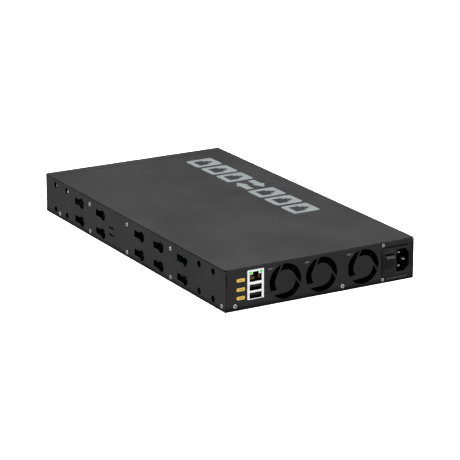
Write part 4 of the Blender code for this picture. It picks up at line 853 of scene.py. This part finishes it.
def service_jack():
    walls = Shape()
    liner(walls, JACK_X - NET_HALF, JACK_X + NET_HALF, NET_LOW, NET_LOW + NET_BODY, FACE_Y, -1, 9 * MM)
    for low in SERIAL_LOW:
        liner(walls, JACK_X - SERIAL_HALF, JACK_X + SERIAL_HALF, low, low + SERIAL_UP, FACE_Y, -1,
              SOCKET_DEPTH)
    piece("service_jack_liners", walls.mesh("service_jack_liners"), socket_plastic)
    wires = Shape()
    net_contacts(wires, JACK_X, NET_LOW, 1, FACE_Y, -1)
    piece("service_jack_wires", wires.mesh("service_jack_wires"), gilt)
    springs = Shape()
    for side in (-1, 1):
        x = JACK_X + side * (NET_HALF - 1.3 * MM)
        springs.block((x - 1.1 * MM, FACE_Y - 3.4 * MM, NET_LOW + NET_BODY - 5.2 * MM),
                      (x + 1.1 * MM, FACE_Y - 3 * MM, NET_LOW + NET_BODY - 0.4 * MM))
    springs.block((JACK_X, FACE_Y - 3.4 * MM, NET_LOW + 1.6 * MM),
                  (JACK_X + NET_HALF - 0.5 * MM, FACE_Y - 3 * MM, NET_LOW + 4.6 * MM))
    piece("service_jack_springs", springs.mesh("service_jack_springs"), bronze, edge=0.1 * MM)
    strips = Shape()
    tongues = Shape()
    for low in SERIAL_LOW:
        under = low + SERIAL_UP / 2 - 0.06 * MM
        edge_z = low + SERIAL_UP - 2.1 * MM
        tongues.block((JACK_X - 5.4 * MM, FACE_Y - 1.2 * MM, edge_z - 0.3 * MM),
                      (JACK_X + 5.4 * MM, FACE_Y - 0.9 * MM, edge_z + 0.3 * MM))
        for k in range(4):
            x = JACK_X + (k - 1.5) * 2.3 * MM
            strips.block((x - 0.5 * MM, FACE_Y - 11 * MM, under), (x + 0.5 * MM, FACE_Y - 3 * MM, under + 0.1 * MM))
    piece("serial_contacts", strips.mesh("serial_contacts"), gilt)
    piece("serial_tongue_edges", tongues.mesh("serial_tongue_edges"), dull_edge)
    for name, x in (("link", JACK_X + 5.85 * MM), ("activity", JACK_X - 5.85 * MM)):
        lens = Shape().block((x - 1.55 * MM, FACE_Y - 0.3 * MM, 35.75 * MM),
                             (x + 1.55 * MM, FACE_Y + 0.12 * MM, 38.05 * MM))
        piece(f"service_{name}_lamp", lens.mesh("lamp"), green_lens, edge=0.15 * MM)


service_jack()
print("service jack", round(JACK_X / MM, 1), round(FACE_Y / MM, 1))

# %% [markdown]
# ## Labels and marks on the rear wall
#
# Three small amber labels name the service sockets, and a grey mark stands beside each fan. They are generic:
# bars and dots on the labels, and the fans' numbers.

# %% Rear labels
LABEL_WIDTH, LABEL_HEIGHT = 9.2 * MM, 3.4 * MM
LABEL_X = 92.6 * MM
LABEL_ZS = (30.7 * MM, 21.2 * MM, 12.5 * MM)
ON_REAR = Matrix(((-1, 0, 0, 0), (0, 0, 1, 0), (0, 1, 0, 0), (0, 0, 0, 1)))


def on_rear(x, z, lift=0.0):
    """A frame on the rear wall: u runs to the viewer's right, v runs up."""
    return Matrix.Translation((x, REAR_WALL + lift, z)) @ ON_REAR


def rear_labels():
    papers, inks = Shape(), Shape()
    for row, z in enumerate(LABEL_ZS):
        loop = rounded_box(LABEL_WIDTH, LABEL_HEIGHT, 1.0 * MM)
        papers.add_mesh(outline_mesh("label", [loop], 0.12 * MM, on_rear(LABEL_X, z)))
        bars = ((-1.3, 1.3), (0.6, 1.9)) if row == 0 else ((-2.1, 1.2), (-0.2, 1.9), (1.9, 1.5))
        for centre, width in bars:
            bar = rounded_box(width * MM, 0.9 * MM, 0.25 * MM, (centre * MM, 0))
            inks.add_mesh(outline_mesh("bar", [bar], INK, on_rear(LABEL_X, z, 0.07 * MM)))
    piece("service_labels", papers.mesh("service_labels"), label_paper)
    piece("service_label_bars", inks.mesh("service_label_bars"), label_ink)


def numeral(text, size, matrix):
    """A number as a thin mesh."""
    curve = bpy.data.curves.new("numeral", "FONT")
    curve.body = text
    curve.size = size
    curve.extrude = INK / 2
    curve.align_x = "CENTER"
    curve.align_y = "CENTER"
    obj = bpy.data.objects.new("numeral", curve)
    bpy.context.scene.collection.objects.link(obj)
    mesh = evaluated(obj)
    mesh.transform(matrix)
    return mesh


FAN_MARK_Z = 36.8 * MM
FAN_MARK_X = (58.6 * MM, 16.6 * MM, -32.6 * MM)


def fan_marks():
    """A bar and a number beside each grille."""
    shape = Shape()
    for k, x in enumerate(FAN_MARK_X, start=1):
        bar = rounded_box(4.4 * MM, 1.2 * MM, 0.3 * MM, (-0.7 * MM, 0))
        shape.add_mesh(outline_mesh("bar", [bar], INK, on_rear(x, FAN_MARK_Z)))
        shape.add_mesh(numeral(str(k), 2.4 * MM, on_rear(x - 3.0 * MM, FAN_MARK_Z)))
    return piece("fan_marks", shape.mesh("fan_marks"), mark_ink)


def rating_marks():
    """A faint row of short bars under the inlet."""
    shape = Shape()
    widths = random.Random(11)
    x = -78 * MM
    while x > -100.5 * MM:
        width = widths.uniform(1.2, 3.4) * MM
        bar = rounded_box(width, 1.1 * MM, 0.25 * MM)
        shape.add_mesh(outline_mesh("bar", [bar], INK, on_rear(x - width / 2, 3.5 * MM)))
        x -= width + 0.7 * MM
    return piece("rating_marks", shape.mesh("rating_marks"), faint_ink)


rear_labels()
fan_marks()
rating_marks()
print("labels at", [round(z / MM, 1) for z in LABEL_ZS])

# %% [markdown]
# ## Power switch and inlet
#
# The rocker is moulded with a raised bar at one end and a ring at the other. The housing has a thin raised
# rim. The inlet's pins are stamped blades with chamfered tips.

# %% Switch and inlet details
rocker_low, rocker_high = (Vector(corner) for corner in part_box("power_switch_rocker"))
flange_low, flange_high = (Vector(corner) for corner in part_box("power_switch_housing"))
tilt = next(j for j in frame["joints"] if j["name"] == "power_rocker_tilt")
PIVOT = Vector(tilt["pos_m"])
ROCKER_TILT = math.radians(16)
ROCKER_END, ROCKER_RISE = 6.7 * MM, 6.0 * MM


def rocker_marks():
    """A bar and a ring, moulded proud of the two halves of the face."""
    place = Matrix.Translation(PIVOT) @ Matrix.Rotation(-ROCKER_TILT, 4, "X")
    shape = Shape()
    rise = ROCKER_RISE - 0.28 * MM
    upper, lower = 3.9 * MM, -3.9 * MM
    lean = math.radians(9)
    bar = rounded_box(0.7 * MM, 2.8 * MM, 0.3 * MM)
    tip = Matrix.Translation((0, rise, upper)) @ Matrix.Rotation(lean, 4, "X") @ ON_REAR
    shape.add_mesh(outline_mesh("bar", [bar], 0.3 * MM, place @ tip))
    ring = [[(r * math.cos(a), r * math.sin(a)) for a in (math.tau * k / 28 for k in range(28))]
            for r in (1.5 * MM, 0.9 * MM)]
    tip = Matrix.Translation((0, rise, lower)) @ Matrix.Rotation(-lean, 4, "X") @ ON_REAR
    shape.add_mesh(outline_mesh("ring", ring, 0.3 * MM, place @ tip))
    return piece("rocker_marks", shape.mesh("rocker_marks"), switch_plastic, body="power_rocker")


def switch_rim():
    """A thin raised rim round the switch's flange."""
    centre = ((flange_low.x + flange_high.x) / 2, flange_high.y, (flange_low.z + flange_high.z) / 2)
    width, height = flange_high.x - flange_low.x, flange_high.z - flange_low.z
    loops = [rounded_box(width, height, 1 * MM), rounded_box(width - 1.2 * MM, height - 1.2 * MM, 0.6 * MM)]
    mesh = outline_mesh("switch_rim", loops, 0.5 * MM, Matrix.Translation(centre) @ ON_REAR)
    return piece("switch_rim", mesh, switch_plastic, edge=0.12 * MM)


def inlet_pins():
    """Blades with chamfered tips, in place of the frame's plain ones."""
    for node in ("inlet_pin_live", "inlet_pin_neutral", "inlet_pin_earth"):
        low, high = (Vector(corner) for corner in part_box(node))
        blade = Shape().block(low, high)
        for vertex in blade.work.verts:
            if vertex.co.y > high.y - MM / 2:
                centre = (low + high) / 2
                vertex.co.x += (centre.x - vertex.co.x) * 0.35
                vertex.co.z += (centre.z - vertex.co.z) * 0.45
        shaped = blade
        loop = Shape().block((low.x, low.y, low.z), (high.x, high.y - 1.6 * MM, high.z))
        shaped.add_mesh(loop.mesh("blade"))
        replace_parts(piece(node + "_blade", shaped.mesh(node), pin_plate, edge=0.15 * MM), node)


rocker_marks()
switch_rim()
inlet_pins()
print("switch pivot", [round(v / MM, 1) for v in PIVOT])

# %% [markdown]
# ## The front
#
# The front holds eight network ports in a bright shell, eight transceiver cages and a status window. Each
# network port gets a black liner, eight gold wires and a pair of unlit lamps. The wires lie opposite the
# latch, so they hang from the roof in the lower row and stand on the floor in the upper one. The ports are
# numbered in pairs, as rows of stacked ports always are.

# %% Front ports
ON_FRONT = Matrix(((1, 0, 0, 0), (0, 0, -1, 0), (0, 1, 0, 0), (0, 0, 0, 1)))
PORT_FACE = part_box("copper_port_block")[0][1]
PORT_BODY, PORT_HALF, PORT_LATCH = 6.8 * MM, 6.2 * MM, 2.6 * MM
PORT_FLOOR_WALL, PORTS_BETWEEN = 1.2 * MM, 5 * MM
CAGE_HEIGHT, CAGE_WALL, CAGES_BETWEEN = 9 * MM, 0.6 * MM, 4 * MM


def on_front(x, z, lift=0.0):
    """A frame on the front wall: u runs to the right of someone who faces it, v runs up."""
    return Matrix.Translation((x, FRONT_WALL - lift, z)) @ ON_FRONT


def port_places(kind):
    """(number, upper row?, middle x, low z, high z) of the plug room of each port of one kind."""
    node, pitch = {"copper": ("copper_port_block", 14 * MM), "fibre": ("fibre_port_cage", 14.25 * MM)}[kind]
    low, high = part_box(node)
    centre_x = (low[0] + high[0]) / 2
    for number in range(1, 9):
        column, upper = divmod(number - 1, 2)
        x = centre_x + (column - 1.5) * pitch
        if kind == "fibre":
            z = low[2] + CAGE_WALL + upper * (CAGE_HEIGHT + CAGES_BETWEEN)
            yield number, bool(upper), x, z, z + CAGE_HEIGHT
        else:
            z = low[2] + PORT_FLOOR_WALL + upper * (PORT_BODY + PORT_LATCH + PORTS_BETWEEN)
            z += 0 if upper else PORT_LATCH
            yield number, bool(upper), x, z, z + PORT_BODY


def copper_ports():
    walls, wires, lamps = Shape(), Shape(), Shape()
    for _, upper, x, low, _ in port_places("copper"):
        liner(walls, x - PORT_HALF, x + PORT_HALF, low, low + PORT_BODY, PORT_FACE, 1, 13.5 * MM)
        net_contacts(wires, x, low if upper else low + PORT_BODY, 1 if upper else -1, PORT_FACE, 1)
        lamp_z = low + PORT_BODY + PORT_LATCH / 2 if upper else low - PORT_LATCH / 2
        for side in (-1, 1):
            lamp_x = x + side * 4.75 * MM
            lamps.block((lamp_x - 1.1 * MM, PORT_FACE - 0.12 * MM, lamp_z - 0.6 * MM),
                        (lamp_x + 1.1 * MM, PORT_FACE + 0.3 * MM, lamp_z + 0.6 * MM))
    piece("port_liners", walls.mesh("port_liners"), socket_plastic)
    piece("port_wires", wires.mesh("port_wires"), gilt)
    piece("port_lamps", lamps.mesh("port_lamps"), dark_lens, edge=0.12 * MM)


def fibre_cages():
    """A connector deep in each cage and spring fingers along its mouth."""
    sockets, fingers = Shape(), Shape()
    for _, _, x, low, high in port_places("fibre"):
        sockets.block((x - 5.6 * MM, PORT_FACE + 44.3 * MM, low + 0.6 * MM),
                      (x + 5.6 * MM, PORT_FACE + 45.2 * MM, low + 5.4 * MM))
        sockets.block((x - 4.6 * MM, PORT_FACE + 42 * MM, low + 2 * MM),
                      (x + 4.6 * MM, PORT_FACE + 44.4 * MM, low + 3.2 * MM))
        for k in range(5):
            finger_x = x + (k - 2) * 2.4 * MM
            for z, sign in ((low - 0.3 * MM, -1), (high + 0.3 * MM, 1)):
                tilt = Matrix.Rotation(math.radians(7 * sign), 4, "X")
                fingers.block((finger_x - 0.85 * MM, PORT_FACE + 0.5 * MM, z - 0.07 * MM),
                              (finger_x + 0.85 * MM, PORT_FACE + 4 * MM, z + 0.07 * MM), tilt)
    piece("cage_connectors", sockets.mesh("cage_connectors"), socket_plastic,
          edge=0.1 * MM)
    piece("cage_fingers", fingers.mesh("cage_fingers"), cage_plate)


def port_numbers():
    """A numeral above each upper port and below each lower one."""
    shape = Shape()
    for kind, node, first in (("copper", "copper_port_block", 0), ("fibre", "fibre_port_cage", 8)):
        low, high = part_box(node)
        for number, upper, x, _, _ in port_places(kind):
            z = high[2] + 1.9 * MM if upper else low[2] - 1.9 * MM
            shape.add_mesh(numeral(str(first + number), 2.6 * MM, on_front(x, z)))
    return piece("port_numbers", shape.mesh("port_numbers"), white_ink)


def status_lamps():
    """Two rows of lamps behind the smoked window, each row lit by its own light pipe."""
    low, high = (Vector(corner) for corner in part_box("status_window"))
    shape, marks = Shape(), Shape()
    for k in range(8):
        x = low.x + (high.x - low.x) * (k + 0.5) / 8
        for share in (0.3, 0.7):
            z = low.z + (high.z - low.z) * share
            shape.block((x - 0.8 * MM, low.y - 0.08 * MM, z - 0.45 * MM), (x + 0.8 * MM, low.y + 0.1 * MM, z + 0.45 * MM))
        marks.add_mesh(numeral(str(k + 1), 1.9 * MM, on_front(x, high.z + 1.6 * MM)))
    piece("status_lamps", shape.mesh("status_lamps"), dark_lens, edge=0.1 * MM)
    piece("status_numbers", marks.mesh("status_numbers"), white_ink)


copper_ports()
fibre_cages()
port_numbers()
status_lamps()
print("ports at", [round(x / MM, 1) for _, upper, x, _, _ in port_places("copper") if upper])

# %% [markdown]
# ## Parts on the boards
#
# With the lid off, a bare board would look like a blank. Small parts are scattered over the main board by a
# seeded random walk: a part that would touch another, a heat sink or a chip is thrown away and drawn again.
# The supply board carries the filter parts that every mains supply has.


# %% Board parts
class Board:
    """Places small parts on a board's upper side, clear of what already stands there."""

    def __init__(self, node, obstacles, seed, margin=5 * MM):
        low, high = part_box(node)
        self.low, self.high, self.top, self.margin = low, high, high[2], margin
        self.taken = [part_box(name) for name in obstacles]
        self.pick = random.Random(seed)

    def free_spot(self, width, length, gap=1.2 * MM):
        """The middle of a free rectangle, or None after sixty draws."""
        for _ in range(60):
            x = self.pick.uniform(self.low[0] + self.margin + width / 2, self.high[0] - self.margin - width / 2)
            y = self.pick.uniform(self.low[1] + self.margin + length / 2, self.high[1] - self.margin - length / 2)
            w, h = width / 2 + gap, length / 2 + gap
            if all(x + w < a[0] or x - w > b[0] or y + h < a[1] or y - h > b[1] for a, b in self.taken):
                self.taken.append(((x - w, y - h), (x + w, y + h)))
                return x, y
        return None


def leaded_chip(bodies, leads, x, y, top, width, length):
    """A flat package with a row of bent leads along both long sides."""
    bodies.block((x - width / 2, y - length / 2, top + 0.2 * MM), (x + width / 2, y + length / 2, top + 1.6 * MM))
    count = int(length / (1.3 * MM))
    for k in range(count):
        lead_y = y + (k - (count - 1) / 2) * 1.27 * MM
        for side in (-1, 1):
            inner, outer = sorted((x + side * width / 2, x + side * (width / 2 + 0.5 * MM)))
            leads.block((inner, lead_y - 0.2 * MM, top + 0.1 * MM), (outer, lead_y + 0.2 * MM, top + 0.9 * MM))
            inner, outer = sorted((x + side * (width / 2 + 0.4 * MM), x + side * (width / 2 + 1.1 * MM)))
            leads.block((inner, lead_y - 0.2 * MM, top + 0.02 * MM), (outer, lead_y + 0.2 * MM, top + 0.25 * MM))


def main_board_parts():
    obstacles = ["switch_heat_sink", "processor_heat_sink", "phy_heat_sink", "copper_port_block",
                 "fibre_port_cage", "service_jack_shell", "supply_cable", "power_supply_bracket", "button_board"]
    board = Board("main_board", obstacles, seed=12)
    bodies, leads, cans, coils, chips = Shape(), Shape(), Shape(), Shape(), Shape()
    top = board.top
    for width, length in [(8 * MM, 11 * MM)] * 6 + [(4 * MM, 5.2 * MM)] * 12:
        spot = board.free_spot(width + 2.4 * MM, length)
        if spot:
            leaded_chip(bodies, leads, *spot, top, width, length)
    for _ in range(12):
        spot = board.free_spot(6.6 * MM, 6.6 * MM)
        if spot:
            cans.rod((*spot, top + 3.6 * MM), 3.1 * MM, 6.4 * MM, "Z", segments=24)
            bodies.block((spot[0] - 3.3 * MM, spot[1] - 3.3 * MM, top), (spot[0] + 3.3 * MM, spot[1] + 3.3 * MM, top + 0.9 * MM))
    for _ in range(10):
        spot = board.free_spot(7 * MM, 7 * MM)
        if spot:
            coils.block((spot[0] - 3.4 * MM, spot[1] - 3.4 * MM, top + 0.1 * MM), (spot[0] + 3.4 * MM, spot[1] + 3.4 * MM, top + 3.2 * MM))
    for _ in range(70):
        spot = board.free_spot(1.8 * MM, 1 * MM, gap=0.6 * MM)
        if spot:
            chips.block((spot[0] - 0.5 * MM, spot[1] - 0.45 * MM, top), (spot[0] + 0.5 * MM, spot[1] + 0.45 * MM, top + 0.7 * MM))
            for side in (-1, 1):
                x = spot[0] + side * 0.7 * MM
                leads.block((x - 0.22 * MM, spot[1] - 0.45 * MM, top), (x + 0.22 * MM, spot[1] + 0.45 * MM, top + 0.66 * MM))
    piece("board_packages", bodies.mesh("board_packages"), epoxy, edge=0.15 * MM)
    piece("board_leads", leads.mesh("board_leads"), solder)
    piece("board_cans", cans.mesh("board_cans"), extrusion, edge=0.5 * MM)
    piece("board_coils", coils.mesh("board_coils"), epoxy, edge=0.8 * MM)
    piece("board_ceramics", chips.mesh("board_ceramics"), ceramic, edge=0.1 * MM)
    return len(board.taken) - len(obstacles)


def supply_board_parts():
    board = Board("power_supply_board", ["power_transformer", "power_capacitor", "power_heat_sink"], seed=5, margin=2 * MM)
    boxes, caps, tubes, bodies, leads = Shape(), Shape(), Shape(), Shape(), Shape()
    top = board.top
    for width, length, height in ((7 * MM, 15 * MM, 12 * MM), (6 * MM, 12 * MM, 10 * MM)):
        spot = board.free_spot(width, length, 0.6 * MM)
        if spot:
            boxes.block((spot[0] - width / 2, spot[1] - length / 2, top), (spot[0] + width / 2, spot[1] + length / 2, top + height))
    spot = board.free_spot(6 * MM, 21 * MM, 0.6 * MM)
    if spot:
        tubes.rod((*spot, top + 2.9 * MM), 2.5 * MM, 14 * MM, "Y", segments=20)
        for side in (-1, 1):
            leads.rod((spot[0], spot[1] + side * 8.5 * MM, top + 2.9 * MM), 2.7 * MM, 4 * MM, "Y", segments=20)
    for _ in range(5):
        spot = board.free_spot(8 * MM, 8 * MM, 0.5 * MM)
        if spot:
            caps.rod((*spot, top + 6.2 * MM), 3.8 * MM, 12.4 * MM, "Z", segments=24)
    for _ in range(4):
        spot = board.free_spot(6.4 * MM, 5.2 * MM)
        if spot:
            leaded_chip(bodies, leads, *spot, top, 4 * MM, 5.2 * MM)
    piece("supply_filters", boxes.mesh("supply_filters"), tape, edge=0.6 * MM)
    piece("supply_fuse", tubes.mesh("supply_fuse"), ceramic, edge=0.1 * MM)
    piece("supply_cans", caps.mesh("supply_cans"), sleeve, edge=0.5 * MM)
    piece("supply_packages", bodies.mesh("supply_packages"), epoxy, edge=0.12 * MM)
    piece("supply_leads", leads.mesh("supply_leads"), solder)


def fan_stickers():
    """A pale ring on each rotor's hub, on the side that faces the boards."""
    for k in (1, 2, 3):
        low, high = (Vector(corner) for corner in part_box(f"fan_{k}_rotor"))
        place = Matrix.Translation(((low.x + high.x) / 2, low.y - 0.03 * MM, (low.z + high.z) / 2)) @ ON_FRONT
        loops = [[(r * math.cos(a), r * math.sin(a)) for a in (math.tau * j / 32 for j in range(32))]
                 for r in (8.2 * MM, 5.4 * MM)]
        piece(f"fan_{k}_sticker", outline_mesh("ring", loops, INK, place), white_ink, body=f"fan_{k}")


print(main_board_parts(), "parts on the main board")
supply_board_parts()
fan_stickers()
